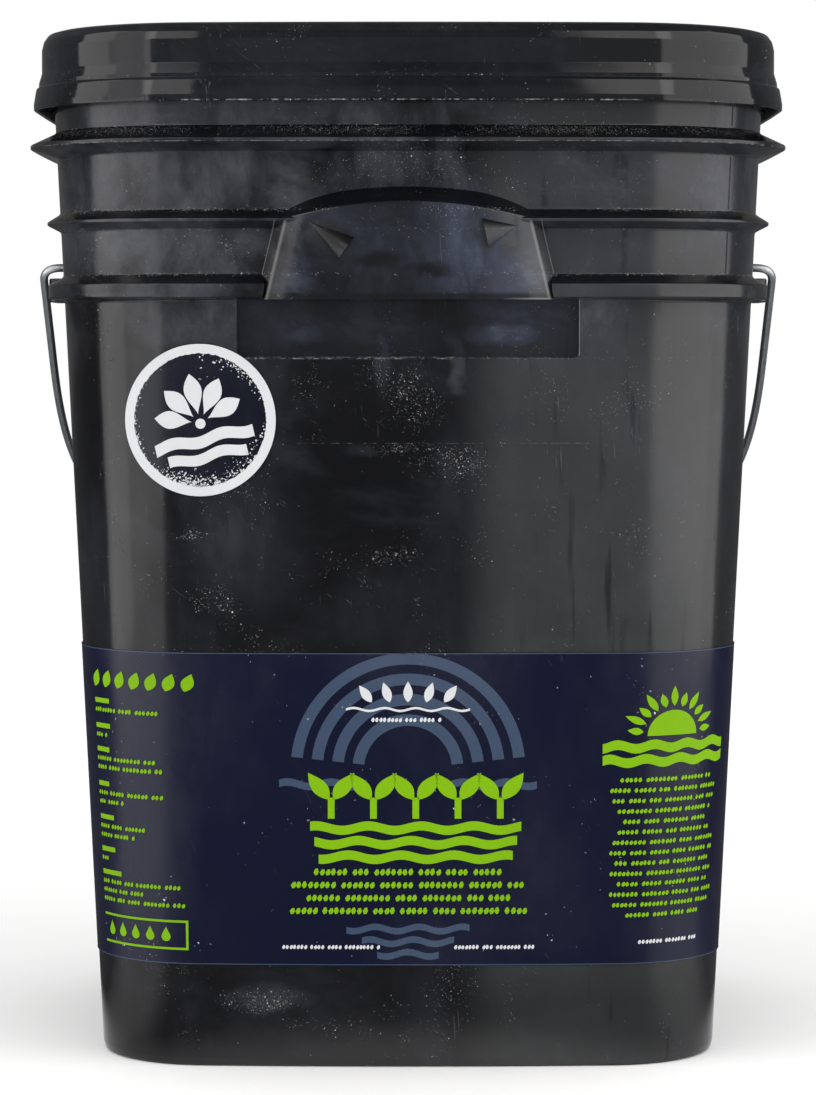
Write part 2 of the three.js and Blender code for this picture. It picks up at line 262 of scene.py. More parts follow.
def combine(piece, *cuts):
    for operation, other in cuts:
        modifier = piece.modifiers.new(operation.lower(), "BOOLEAN")
        modifier.operation = operation
        modifier.object = other
        modifier.solver = "MANIFOLD"
    settle(piece)
    for _, other in cuts:
        if other.users_collection:
            bpy.data.objects.remove(other)
    return piece


def copyOf(piece):
    twin = piece.copy()
    twin.data = piece.data.copy()
    scene.collection.objects.link(twin)
    return twin


def finishPiece(piece, material, body, slot, *nodes):
    piece.data.materials.clear()
    piece.data.materials.append(material)
    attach(piece, body)
    if nodes:
        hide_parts(*nodes)
    return piece


# Geometry Nodes: place on the wall, sweep a section, wrap flat artwork, repeat webs

def makePlaceGroup():
    sizes = {
        "Spread": 1.0,
        "Front bow": plan["frontBow"],
        "Corner radius": plan["cornerRadius"],
        "Side bow": plan["sideBow"],
        "Corner centre X": solved["cornerX"],
        "Corner centre Y": solved["cornerY"],
        "Side centre X": solved["sideX"],
        "Front centre Y": solved["frontY"],
        "Front turn": solved["frontTurn"],
        "Corner turn": solved["cornerTurn"],
        "Front run": solved["frontRun"],
        "Corner run": solved["cornerRun"],
        "Quarter run": quarterRun,
    }
    inputs = [("Run", "Float"), ("Offset", "Float"), ("Height", "Float")]
    inputs += [(label, "Float", value) for label, value in sizes.items()]
    outputs = [("Position", "Vector"), ("Outward", "Vector")]
    tree, given, out = newTree("placeOnWall", "GeometryNodeTree", inputs, outputs)
    quarter = given["Quarter run"]
    local = calc("PINGPONG", given["Run"], quarter)
    pastFront = calc("SUBTRACT", local, given["Front run"])
    pastCorner = calc("SUBTRACT", pastFront, given["Corner run"])
    onCorner = calc("GREATER_THAN", pastFront, 0.0)
    onSide = calc("GREATER_THAN", pastCorner, 0.0)

    def choose(front, corner, side):
        return switched(onSide, switched(onCorner, front, corner), side)

    def turnOn(start, run, radius):
        return plus(start, calc("DIVIDE", run, radius))

    turn = choose(
        turnOn(0.0, local, given["Front bow"]),
        turnOn(given["Front turn"], pastFront, given["Corner radius"]),
        turnOn(given["Corner turn"], pastCorner, given["Side bow"]),
    )
    radius = choose(given["Front bow"], given["Corner radius"], given["Side bow"])
    reach = plus(radius, given["Offset"])
    centreX = choose(0.0, given["Corner centre X"], given["Side centre X"])
    centreY = choose(given["Front centre Y"], given["Corner centre Y"], 0.0)
    sine, cosine = calc("SINE", turn), calc("COSINE", turn)
    across = calc("MULTIPLY_ADD", reach, sine, centreX)
    along = calc("MULTIPLY_ADD", reach, cosine, centreY)
    half = times(quarter, 2.0)
    whole = times(quarter, 4.0)
    wrapped = calc("FLOORED_MODULO", given["Run"], whole)
    sideSign = calc("MULTIPLY_ADD", calc("LESS_THAN", wrapped, half), 2.0, -1.0)
    frontward = calc("LESS_THAN", calc("PINGPONG", given["Run"], half), quarter)
    frontSign = calc("MULTIPLY_ADD", frontward, -2.0, 1.0)
    signed = []
    for value, sign in ((across, sideSign), (along, frontSign), (sine, sideSign), (cosine, frontSign)):
        signed.append(times(value, sign))
    x, y = (times(value, given["Spread"]) for value in signed[:2])
    put(together(x, y, given["Height"]), out["Position"])
    put(together(*signed[2:], 0.0), out["Outward"])
    return tree


placeGroup = makePlaceGroup()


def placed(run, offset, height, spread=1.0):
    node = addNode(run.id_data, "GeometryNodeGroup", node_tree=placeGroup)
    for label, value in (("Run", run), ("Offset", offset), ("Height", height), ("Spread", spread)):
        put(value, node.inputs[label])
    return node.outputs


# Keeps the run and the height as the piece's UV map, and moves its points to their places.
def shapeOn(geometry, run, height, place):
    inputs = {"Geometry": geometry, "Name": "UVMap", "Value": together(run, height, 0.0)}
    kind = "GeometryNodeStoreNamedAttribute"
    tree = geometry.id_data
    stored = addNode(tree, kind, inputs, data_type="FLOAT2", domain="CORNER").outputs[0]
    return addNode(tree, "GeometryNodeSetPosition", {0: stored, "Position": place}).outputs[0]


def closeTree(geometry, material, out):
    tree = geometry.id_data
    real = addNode(tree, "GeometryNodeRealizeInstances", {0: geometry})
    finish = addNode(tree, "GeometryNodeSetMaterial", {"Geometry": real.outputs[0], "Material": material})
    put(finish.outputs[0], out["Geometry"])


# Sweeps a section round the whole outline. The section is a line of points whose X is the offset,
# Y the height and Z how far it spreads from the middle: 1 on a wall, 0 at the middle of a floor.
def makeSweepTree():
    tree, given, out = newShaper(
        "sweepRound",
        ("Front steps", "Int", 24),
        ("Corner steps", "Int", 16),
        ("Side steps", "Int", 12),
        ("Front run", "Float", solved["frontRun"]),
        ("Corner run", "Float", solved["cornerRun"]),
        ("Side run", "Float", solved["sideRun"]),
    )
    sizes = addNode(tree, "GeometryNodeAttributeDomainSize", {0: given["Geometry"]})
    rows = sizes.outputs["Point Count"]
    perQuarter = plus(given["Front steps"], given["Corner steps"], given["Side steps"])
    columns = calc("MULTIPLY_ADD", perQuarter, 4.0, 1.0)
    grid = addNode(tree, "GeometryNodeMeshGrid", {"Vertices X": columns, "Vertices Y": rows})
    index = addNode(tree, "GeometryNodeInputIndex").outputs[0]
    column = calc("FLOOR", calc("DIVIDE", index, rows))
    row = calc("SUBTRACT", index, times(column, rows))
    position = addNode(tree, "GeometryNodeInputPosition").outputs[0]
    inputs = {0: given["Geometry"], 1: position, 2: row}
    sample = addNode(tree, "GeometryNodeSampleIndex", inputs, data_type="FLOAT_VECTOR")
    point = apart(sample.outputs[0])
    local = calc("PINGPONG", column, perQuarter)
    within, before = None, 0.0
    for name in ("Front", "Corner", "Side"):
        steps = given[name + " steps"]
        top = plus(before, steps)
        share = mapped(local, before, top, 0.0, given[name + " run"])
        within = share if within is None else plus(within, share)
        before = top
    quarter = plus(given["Front run"], given["Corner run"], given["Side run"])
    turn = calc("FLOOR", calc("DIVIDE", column, perQuarter))
    odd = calc("MODULO", turn, 2.0)
    part = switched(odd, within, calc("SUBTRACT", quarter, within))
    run = calc("MULTIPLY_ADD", turn, quarter, part)
    place = placed(run, point[0], point[1], point[2])
    shaped = shapeOn(grid.outputs[0], run, point[1], place[0])
    merged = addNode(tree, "GeometryNodeMergeByDistance", {0: shaped, "Distance": 2e-6})
    closeTree(merged.outputs[0], given["Material"], out)
    return tree


# Wraps flat artwork round the wall. Its X is the run, Y the height and Z the lift off the wall.
def makeWrapTree():
    tree, given, out = newShaper("wrapOnWall", ("Wall lean", "Float", plan["wallLean"]))
    flat = apart(addNode(tree, "GeometryNodeInputPosition").outputs[0])
    offset = calc("MULTIPLY_ADD", flat[1], given["Wall lean"], flat[2])
    place = placed(flat[0], offset, flat[1])
    closeTree(shapeOn(given["Geometry"], flat[0], flat[1], place[0]), given["Material"], out)
    return tree


# Repeats a small shape round the outline, turned so that its +X points outward.
def makeRepeatTree():
    tree, given, out = newShaper("repeatRound", ("Count", "Int", 44), ("Whole run", "Float", 4 * quarterRun))
    points = addNode(tree, "GeometryNodeMeshLine", {"Count": given["Count"]})
    index = addNode(tree, "GeometryNodeInputIndex").outputs[0]
    pitch = calc("DIVIDE", given["Whole run"], given["Count"])
    run = times(plus(index, 0.5), pitch)
    place = placed(run, 0.0, 0.0)
    shaped = addNode(tree, "GeometryNodeSetPosition", {0: points.outputs[0], "Position": place[0]}).outputs[0]
    kind = "FunctionNodeAlignRotationToVector"
    facing = addNode(tree, kind, {"Vector": place[1]}, axis="X", pivot_axis="Z").outputs[0]
    inputs = {"Points": shaped, "Instance": given["Geometry"], "Rotation": facing}
    copies = addNode(tree, "GeometryNodeInstanceOnPoints", inputs)
    closeTree(copies.outputs[0], given["Material"], out)
    return tree


# A round bar along a path, for the wire.
def makeTubeTree():
    tree, given, out = newShaper("tubeAlong", ("Radius", "Float", 0.0017), ("Sides", "Int", 24))
    path = addNode(tree, "GeometryNodeMeshToCurve", {0: given["Geometry"]})
    sizes = {"Resolution": given["Sides"], "Radius": given["Radius"]}
    ring = addNode(tree, "GeometryNodeCurvePrimitiveCircle", sizes)
    inputs = {"Curve": path.outputs[0], "Profile Curve": ring.outputs[0], "Fill Caps": True}
    tube = addNode(tree, "GeometryNodeCurveToMesh", inputs)
    closeTree(tube.outputs[0], given["Material"], out)
    return tree


sweepTree, wrapTree, repeatTree, tubeTree = makeSweepTree(), makeWrapTree(), makeRepeatTree(), makeTubeTree()
print("geometry node trees built")


# sections

# Rounds the corners of a line of (across, up, radius) points, in millimetres.
def rounded(points, cuts=4):
    line = []
    for i, (x, y, *radius) in enumerate(points):
        here = Vector((x, y))
        if not radius or not radius[0] or i in (0, len(points) - 1):
            line.append(here)
            continue
        back = Vector(points[i - 1][:2]) - here
        ahead = Vector(points[i + 1][:2]) - here
        turn = math.pi - back.angle(ahead)
        reach = radius[0] * math.tan(turn / 2)
        reach = min(reach, 0.49 * back.length, 0.49 * ahead.length)
        start, end = here + back.normalized() * reach, here + ahead.normalized() * reach
        for k in range(cuts + 1):
            t = k / cuts
            line.append(start * (1 - t) ** 2 + here * 2 * t * (1 - t) + end * t**2)
    return line


# Splits long stretches of a line, so that the wall has rows to follow its bow.
def split(line, longest):
    fine = [line[0]]
    for a, b in zip(line, line[1:]):
        count = max(1, math.ceil((b - a).length / longest))
        fine += [a.lerp(b, (k + 1) / count) for k in range(count)]
    return fine


frontWall = plan["halfDepth"] / mm  # how far the front wall's foot is from the middle, in millimetres
sideWall = plan["halfWidth"] / mm


def wallAt(height):
    return plan["wallLean"] * height


def wallPoint(height, radius=0):
    return (wallAt(height), height, radius)


# Sweeps a section round the outline, and closes it over the middle at both ends.
def sweepSection(name, line, material, steps):
    start, end = line[0] * mm, line[-1] * mm
    verts = [(0, start.y, 0), (start.x, start.y, 0.9)]
    verts += [(p.x * mm, p.y * mm, 1.0) for p in line]
    verts += [(end.x, end.y, 0.9), (0, end.y, 0)]
    piece = newObject(name, verts, [(i, i + 1) for i in range(len(verts) - 1)])
    values = {"Front steps": steps[0], "Corner steps": steps[1], "Side steps": steps[2], "Material": material}
    return runTree(piece, sweepTree, values)


# shader groups, shared by the finishes

# Uneven haze of handling: broad clouds with finer mottling, drawn out up and down.
def makeHazeGroup():
    tree, given, out = newMask("handlingHaze", [("Scale", "Float", 14.0)], "Haze", "Mottle")
    squeezed = vectorCalc("MULTIPLY", given["Vector"], (1.0, 1.0, 0.55))
    broad = noise(squeezed, given["Scale"], 6.0, 0.6, 0.3)[0]
    fine = noise(squeezed, times(given["Scale"], 9.0), 5.0, 0.7)[0]
    cloud = mapped(broad, 0.42, 0.68, smooth=True)
    mottle = mapped(fine, 0.3, 0.75)
    put(times(cloud, calc("MULTIPLY_ADD", mottle, 0.6, 0.55)), out["Haze"])
    put(mottle, out["Mottle"])
    return tree


# Fine straight scratches in one direction, gathered in patches.
def makeScratchGroup():
    inputs = [("Turn", "Vector"), ("Scale", "Float", 900.0), ("Amount", "Float", 0.5)]
    tree, given, out = newMask("fineScratches", inputs, "Mask")
    inputs = {"Vector": given["Vector"], "Rotation": given["Turn"]}
    turned = addNode(tree, "ShaderNodeVectorRotate", inputs, rotation_type="EULER_XYZ").outputs[0]
    drawn = vectorCalc("MULTIPLY", turned, (1.0, 1.0, 0.02))
    lines = noise(drawn, given["Scale"], 2.0)[0]
    patches = noise(given["Vector"], 34.0, 3.0, 0.6)[0]
    thin = mapped(lines, 0.66, 0.74, smooth=True)
    where = mapped(patches, 0.52, 0.66, smooth=True)
    put(times(thin, where, given["Amount"]), out["Mask"])
    return tree


# Pale grains of dust, denser where Gather is high.
def makeDustGroup():
    inputs = [("Scale", 700.0), ("Grain", 0.3), ("Share", 0.02), ("Gather", 0.0)]
    inputs = [(label, "Float", value) for label, value in inputs]
    tree, given, out = newMask("dustGrains", inputs, "Mask")
    ripple = noise(given["Vector"], 1300.0, 2.0)[1]
    shift = vectorCalc("MULTIPLY", ripple, (0.0011, 0.0011, 0.0011))
    ragged = vectorCalc("ADD", given["Vector"], shift)
    cells = addNode(tree, "ShaderNodeTexVoronoi", {"Vector": ragged, "Scale": given["Scale"]}).outputs
    chance = addNode(tree, "ShaderNodeSeparateColor", {0: cells["Color"]}).outputs
    clump = noise(given["Vector"], 32.0, 4.0, 0.7)[0]
    clumped = mapped(clump, 0.36, 0.62)
    loose = times(given["Share"], mapped(clump, 0.55, 0.74, 0.3, 32.0))
    share = calc("MULTIPLY_ADD", times(given["Gather"], clumped), 0.8, loose)
    chosen = calc("LESS_THAN", chance[0], share)
    radius = times(given["Grain"], calc("MULTIPLY_ADD", chance[1], 0.8, 0.3))
    inner = times(radius, 0.55)
    disc = mapped(cells["Distance"], radius, inner, smooth=True)
    pale = calc("MULTIPLY_ADD", chance[2], 0.75, 0.25)
    put(times(chosen, disc, pale), out["Mask"])
    return tree


# Dust lines at fixed heights: 1 on a junction, fading over its width. Heights are in millimetres.
def makeLedgeGroup():
    tree, given, out = newMask("ledgeLine", [("Height", "Float", 367.0), ("Width", "Float", 1.5)], "Mask")
    up = times(apart(given["Vector"])[2], 1 / mm)
    away = calc("ABSOLUTE", calc("SUBTRACT", up, given["Height"]))
    put(mapped(away, given["Width"], 0.0, smooth=True), out["Mask"])
    return tree


hazeGroup, scratchGroup = makeHazeGroup(), makeScratchGroup()
dustGroup, ledgeGroup = makeDustGroup(), makeLedgeGroup()


def use(group, **inputs):
    return addNode(treeOf(inputs.values()), "ShaderNodeGroup", inputs, node_tree=group).outputs


def mixColour(tree, factor, first, second):
    inputs = {0: factor, 6: first, 7: second}
    return addNode(tree, "ShaderNodeMix", inputs, data_type="RGBA").outputs[2]


def newMaterial(name, **constants):
    material = bpy.data.materials.new(name)
    material.use_nodes = True
    tree = material.node_tree
    shader = next(node for node in tree.nodes if node.type == "BSDF_PRINCIPLED")
    for label, value in constants.items():
        shader.inputs[label].default_value = value
    coords = tree.nodes.new("ShaderNodeTexCoord").outputs
    return material, tree, shader.inputs, coords


def addBump(height, distance, strength=1.0, over=None):
    inputs = {"Height": height, "Distance": distance, "Strength": strength}
    if over is not None:
        inputs["Normal"] = over
    return addNode(height.id_data, "ShaderNodeBump", inputs).outputs[0]


def colour(r, g, b):
    return (r, g, b, 1.0)


# The place, shifted a few millimetres either way by a noise.
def raggedPlace(place):
    ripple = noise(place, 110.0, 2.0)[1]
    shift = vectorCalc("MULTIPLY_ADD", ripple, (0.012, 0, 0.007), (-0.006, 0, -0.0035))
    return vectorCalc("ADD", place, shift)


# Soft spots on the front with ragged edges, each as (x, z, half width, half height, strength).
def spotMask(ragged, spots):
    found = 0.0
    for x, z, wide, tall, strength in spots:
        scale, middle = (1 / wide / mm, 0, 1 / tall / mm), (-x / wide, 0, -z / tall)
        away = lengthOf(vectorCalc("MULTIPLY_ADD", ragged, scale, middle))
        found = most(found, mapped(away, 1.15, 0.2, 0.0, strength, True))
    return found


# A thin line where a distance, in metres, is nothing. Its width is in millimetres.
def lineMask(distance, width):
    return mapped(calc("ABSOLUTE", distance), width * mm, 0.0, smooth=True)


# Moulded black plastic. Ledges are the heights, in millimetres, where dust has settled, each with its
# width. Edges are pale lines on the front, painted highlights of edges with some wear, each as (height,
# width, from, to, strength). Marks gives the masks of the finger grip.
def mouldedPlastic(name, values, ledges=(), edges=(), marks=None):
    material, tree, shader, coords = newMaterial(name, IOR=1.5)
    place = coords["Object"]
    axes = apart(place)
    facing = apart(tree.nodes.new("ShaderNodeNewGeometry").outputs["Normal"])
    onFront = calc("LESS_THAN", axes[1], 0.0)
    grips = marks(axes) if marks else {"hood": 0.0, "tint": 0.0, "tone": 1.0, "worn": 0.0}
    spotted = {"dustSpots": 0.0, "smears": 0.0, "paintedDarkPatches": 0.0, "rubs": 0.0}
    if values["dustSpots"]:
        ragged = raggedPlace(place)
        spotted = {key: times(spotMask(ragged, values[key]), onFront) for key in spotted}

    haze = use(hazeGroup, Vector=place, Scale=values["hazeScale"])["Haze"]
    inputs = {"Vector": place, "Angle": values["smearTurn"]}
    smear = addNode(tree, "ShaderNodeVectorRotate", inputs, rotation_type="Y_AXIS").outputs[0]
    wiped = use(hazeGroup, Vector=smear, Scale=values["smearScale"])["Haze"]
    cloud = most(haze, times(wiped, 0.8))
    front = mapped(facing[1], -0.5, -0.9, values["aroundHaze"], 1.0, True)
    front = most(front, grips["hood"])
    upper = mapped(axes[2], *values["hazeFrom"], 0.0, values["upperHaze"], True)
    lower = mapped(axes[2], *values["lowHazeTo"], values["lowHaze"] * values["haze"], values["haze"])
    cloudy = times(calc("MULTIPLY_ADD", upper, front, lower), cloud)
    # Over the right half of the front the surface is made evenly paler, less so at the foot, with streaks
    # down it.
    right = mapped(axes[0], *values["rightFrom"], 0.0, values["rightPaleShare"], True)
    right = times(right, mapped(axes[2], *values["footTo"], values["rightFootPaleShare"], 1.0))
    drips = noise(vectorCalc("MULTIPLY", place, (1.0, 1.0, 0.06)), values["dripScale"], 2.0)[0]
    even = calc("MULTIPLY_ADD", cloud, 0.3, mapped(drips, *values["drips"], True))
    evenly = times(right, front, even)
    # Dark patches take the haze away: a painted dark reflection on the hood's face and painted shade on its
    # left cone.
    cloudy = calc("SUBTRACT", cloudy, times(cloudy, spotted["paintedDarkPatches"]))
    smears = times(spotted["smears"], mapped(cloud, 0.0, 0.6, 0.3, 1.0))
    # Faces turned up keep a share of the haze: on the pail little, so the ribs' tops read black, a painted
    # shade; on the lid more, so its tops read paler.
    upright = mapped(facing[2], 0.2, 0.45, 1.0, values["upSlopeShading"], True)
    cloudy = most(times(cloudy, upright, grips["tone"]), smears)
    evenly = calc("SUBTRACT", times(evenly, upright, grips["tone"]), cloudy)
    evenly = most(evenly, 0.0)
    dull = plus(cloudy, evenly)

    straight = use(scratchGroup, Vector=place, Turn=(0.0, 0.05, 0.0), Scale=1100.0, Amount=0.7)["Mask"]
    slanted = use(scratchGroup, Vector=place, Turn=(0.2, 0.9, 0.4), Scale=1300.0, Amount=0.8)["Mask"]
    scratches = most(straight, slanted)
    gather = 0.0
    for height, width in ledges:
        line = use(ledgeGroup, Vector=place, Height=height, Width=width)["Mask"]
        gather = most(gather, line)
    gather = times(gather, mapped(facing[2], 0.0, 0.3, 0.25, 1.0))
    gather = most(gather, spotted["dustSpots"])
    scale, share = values["dustScale"], values["dust"]
    shared = {"Vector": place, "Gather": gather}
    coarse = use(dustGroup, Scale=scale, Grain=0.3, Share=share, **shared)["Mask"]
    fine = use(dustGroup, Scale=scale * 2.6, Grain=0.42, Share=share * 4.5, **shared)["Mask"]
    dust = most(coarse, times(fine, 0.75))

    haziness = mixColour(tree, grips["tint"], values["hazeColour"], values["hoodHazeAndBlueReflection"])
    base = mixColour(tree, cloudy, values["colour"], haziness)
    base = mixColour(tree, evenly, base, values["evenColour"])
    scratched = times(scratches, values["scratch"])
    worn = mixColour(tree, scratched, base, values["scratchColour"])
    offFlats = mapped(facing[2], 0.97, 0.85)
    # Pale lines along edges on the front: painted highlights of edges catching light, with some wear.
    edgeHighlights = 0.0
    for height, width, start, end, strength in edges:
        line = use(ledgeGroup, Vector=place, Height=height, Width=width)["Mask"]
        line = times(line, between(axes[0], start, end), onFront, offFlats, strength)
        edgeHighlights = most(edgeHighlights, line)
    gritty = noise(place, 330.0, 5.0, 0.75)[0]
    brokenEdgeHighlights = times(edgeHighlights, mapped(gritty, 0.47, 0.64, 0.0, 0.55))
    brokenEdgeHighlights = most(brokenEdgeHighlights, grips["worn"])
    worn = mixColour(tree, brokenEdgeHighlights, worn, values["edgeHighlightsColour"])
    put(mixColour(tree, dust, worn, values["dustColour"]), shader["Base Color"])
    rough = calc("MULTIPLY_ADD", dull, values["hazeRough"], values["rough"])
    rough = calc("MULTIPLY_ADD", scratches, 0.25, plus(rough, spotted["rubs"]))
    put(calc("MULTIPLY_ADD", dust, 0.5, rough), shader["Roughness"])
    normal = addBump(noise(place, 22.0, 1.0)[0], values["wave"])
    normal = addBump(noise(place, 1500.0, 2.0)[0], 0.00002, values["grain"], normal)
    normal = addBump(calc("MULTIPLY_ADD", dust, 1.0, scratches), 0.00008, 0.6, normal)
    put(normal, shader["Normal"])
    return material


pailLook = {
    "colour": colour(0.0026, 0.0028, 0.0038),
    "hazeColour": colour(0.078, 0.083, 0.099),
    # haze of the hood and the pocket, tinted blue as a painted reflection
    "hoodHazeAndBlueReflection": colour(0.062, 0.076, 0.118),
    "evenColour": colour(0.082, 0.086, 0.087),
    "scratchColour": colour(0.2, 0.2, 0.2),
    # pale edge lines: painted highlights with some wear
    "edgeHighlightsColour": colour(0.42, 0.42, 0.41),
    "dustColour": colour(0.62, 0.6, 0.56),
    "haze": 0.19,
    "lowHaze": 0.55,  # share of the haze near the base, up to the heights in lowHazeTo
    "lowHazeTo": (0.17, 0.24),
    "upperHaze": 0.5,
    "hazeFrom": (0.272, 0.296),
    "rightPaleShare": 0.57,
    "rightFrom": (0.012, 0.042),
    "rightFootPaleShare": 0.66,
    "footTo": (0.025, 0.05),
    "dripScale": 170.0,
    "drips": (0.25, 0.37, 0.14, 0.45),
    "aroundHaze": 0.45,
    # little haze on faces turned up: painted shade on the ribs' tops
    "upSlopeShading": 0.08,
    "hazeScale": 17.0,
    "smearScale": 26.0,
    "smearTurn": 1.35,
    "hazeRough": 0.2,
    "rough": 0.13,
    "dust": 0.0016,
    "dustScale": 1150.0,
    "scratch": 0.13,
    "wave": 0.0004,
    "grain": 0.15,
    "dustSpots": (
        (8, 352, 34, 12, 0.25), (2, 263, 14, 15, 0.6), (-8, 243, 15, 3, 1.0), (15, 239, 18, 8, 1.0),
        (-86, 209, 12, 3, 1.0), (-75, 184, 14, 7, 0.7), (-6, 201, 12, 4, 0.8), (-56, 26, 20, 6, 1.0),
        (-34, 17, 18, 5, 0.5), (-67, 320, 9, 6, 0.4), (44, 345, 14, 5, 0.3),
    ),
    "smears": (
        (41, 253, 7, 6, 0.5), (-41, 287, 14, 5, 0.5), (38, 287, 20, 7, 0.9), (19, 277, 4.5, 17, 0.5),
        (-10, 277, 4.5, 17, 0.4), (-56, 27, 26, 8, 0.24), (-18, 242, 8, 3, 0.3), (-62, 205, 30, 40, 0.22),
    ),
    # painted dark reflection on the hood's face, and painted shade on the left cone
    "paintedDarkPatches": ((-12.5, 315.5, 14, 4, 0.9), (8, 311.5, 14, 3.6, 0.9), (-29.5, 324.5, 9, 7, 0.9)),
    "rubs": ((-30.5, 325.5, 10, 9, 0.3), (36, 327, 10, 7, 0.3)),
}
lidLook = {
    **pailLook,
    "colour": colour(0.0024, 0.0028, 0.0038),
    "haze": 0.1,
    "upperHaze": 0.0,
    "rightPaleShare": 0.05,
    "upSlopeShading": 1.6,
    "hazeScale": 24.0,
    "hazeRough": 0.15,
    "rough": 0.08,
    "dust": 0.0022,
    "wave": 0.0006,
    "grain": 0.08,
    "dustSpots": (),
}
rollerLook = {**lidLook, "rough": 0.38, "grain": 0.5, "hazeScale": 40.0, "dust": 0.0}
# The lid's pale line on its lower edge is a painted highlight.
lidLedges, lidEdgeHighlights = [(376.6, 0.9), (386.4, 0.5)], [(376.7, 0.45, -90, 90, 1.0)]
lidPlastic = mouldedPlastic("lidPlastic", lidLook, lidLedges, lidEdgeHighlights)
rollerPlastic = mouldedPlastic("rollerPlastic", rollerLook)


def zincWire():
    material, tree, shader, coords = newMaterial("galvanisedWire", Metallic=1.0)
    place = coords["Object"]
    spangle = addNode(tree, "ShaderNodeTexVoronoi", {"Vector": place, "Scale": 420.0}).outputs["Color"]
    tone = addNode(tree, "ShaderNodeSeparateColor", {0: spangle}).outputs[0]
    streak = noise(place, 160.0, 4.0, 0.7)[0]
    cloud = mapped(streak, 0.35, 0.7)
    fresh, dull = colour(0.80, 0.84, 0.88), colour(0.52, 0.55, 0.59)
    dulled = calc("MULTIPLY_ADD", cloud, 0.7, times(tone, 0.3))
    put(mixColour(tree, dulled, fresh, dull), shader["Base Color"])
    put(calc("MULTIPLY_ADD", cloud, 0.2, 0.34), shader["Roughness"])
    put(addBump(streak, 0.00006, 0.6), shader["Normal"])
    return material


def gasketRubber():
    material, tree, shader, coords = newMaterial("gasketRubber")
    pores = addNode(tree, "ShaderNodeTexVoronoi", {"Vector": coords["Object"], "Scale": 1800.0}).outputs[0]
    tone = noise(coords["Object"], 60.0, 4.0)[0]
    dark, pale = colour(0.12, 0.125, 0.13), colour(0.2, 0.21, 0.22)
    put(mixColour(tree, tone, dark, pale), shader["Base Color"])
    put(mapped(pores, 0.0, 0.6, 0.95, 0.75), shader["Roughness"])
    put(addBump(pores, 0.0002), shader["Normal"])
    return material


# Printed film: an even ground with faint banding, handling haze and pale specks.
def printedFilm(name, values):
    material, tree, shader, coords = newMaterial(name, IOR=values["ior"])
    place = coords["Object"]
    haze = use(hazeGroup, Vector=place, Scale=16.0)
    share = values["specks"]
    dust = use(dustGroup, Vector=place, Scale=values["speckScale"], Grain=0.33, Share=share)["Mask"]
    fineDust = use(dustGroup, Vector=place, Scale=1400.0, Grain=0.4, Share=share * 0.7)["Mask"]
    specks = most(dust, times(fineDust, 0.6))
    scratches = use(scratchGroup, Vector=place, Turn=(0.1, 0.5, 0.2), Scale=800.0, Amount=0.5)["Mask"]
    hazed = times(haze["Haze"], values["haze"])
    ground = mixColour(tree, hazed, values["colour"], values["hazeColour"])
    worn = mixColour(tree, times(scratches, values["wear"]), ground, values["wearColour"])
    put(mixColour(tree, specks, worn, values["speckColour"]), shader["Base Color"])
    rough = calc("MULTIPLY_ADD", haze["Haze"], 0.12, values["rough"])
    put(calc("MULTIPLY_ADD", specks, 0.3, rough), shader["Roughness"])
    normal = addBump(noise(place, 30.0, 2.0)[0], 0.0003)
    put(addBump(haze["Mottle"], 0.00003, 0.4, normal), shader["Normal"])
    return material


navyLook = {
    "colour": colour(0.0022, 0.0036, 0.0175),
    "hazeColour": colour(0.012, 0.015, 0.034),
    "wearColour": colour(0.12, 0.13, 0.17),
    "speckColour": colour(0.5, 0.52, 0.55),
    "speckScale": 600.0,
    "specks": 0.007,
    "haze": 0.5,
    "wear": 0.15,
    "rough": 0.2,
    "ior": 1.48,
}
limeLook = {
    **navyLook,
    "colour": colour(0.158, 0.345, 0.0015),
    "hazeColour": colour(0.125, 0.27, 0.0015),
    "wearColour": colour(0.05, 0.12, 0.01),
    "specks": 0.0,
    "wear": 0.5,
    "rough": 0.34,
    "ior": 1.2,
}
slateLook = {
    **navyLook,
    "colour": colour(0.032, 0.052, 0.094),
    "hazeColour": colour(0.045, 0.066, 0.108),
    "rough": 0.22,
}
whiteLook = {
    **limeLook,
    "colour": colour(0.5, 0.512, 0.526),
    "hazeColour": colour(0.45, 0.464, 0.482),
    "wearColour": colour(0.4, 0.42, 0.45),
    "wear": 0.25,
}
stickerLook = {
    **navyLook,
    "colour": colour(0.0016, 0.003, 0.0095),
    "hazeColour": colour(0.012, 0.015, 0.024),
    "specks": 0.003,
}
navyFilm = printedFilm("navyFilm", navyLook)
limeInk = printedFilm("limeInk", limeLook)
slateInk = printedFilm("slateInk", slateLook)
whiteInk = printedFilm("whiteInk", whiteLook)
stickerFilm = printedFilm("stickerFilm", stickerLook)
galvanisedWire = zincWire()
rubber = gasketRubber()
print("materials built")


# pail: wall swept round the outline, with the finger grip and the bail's ears

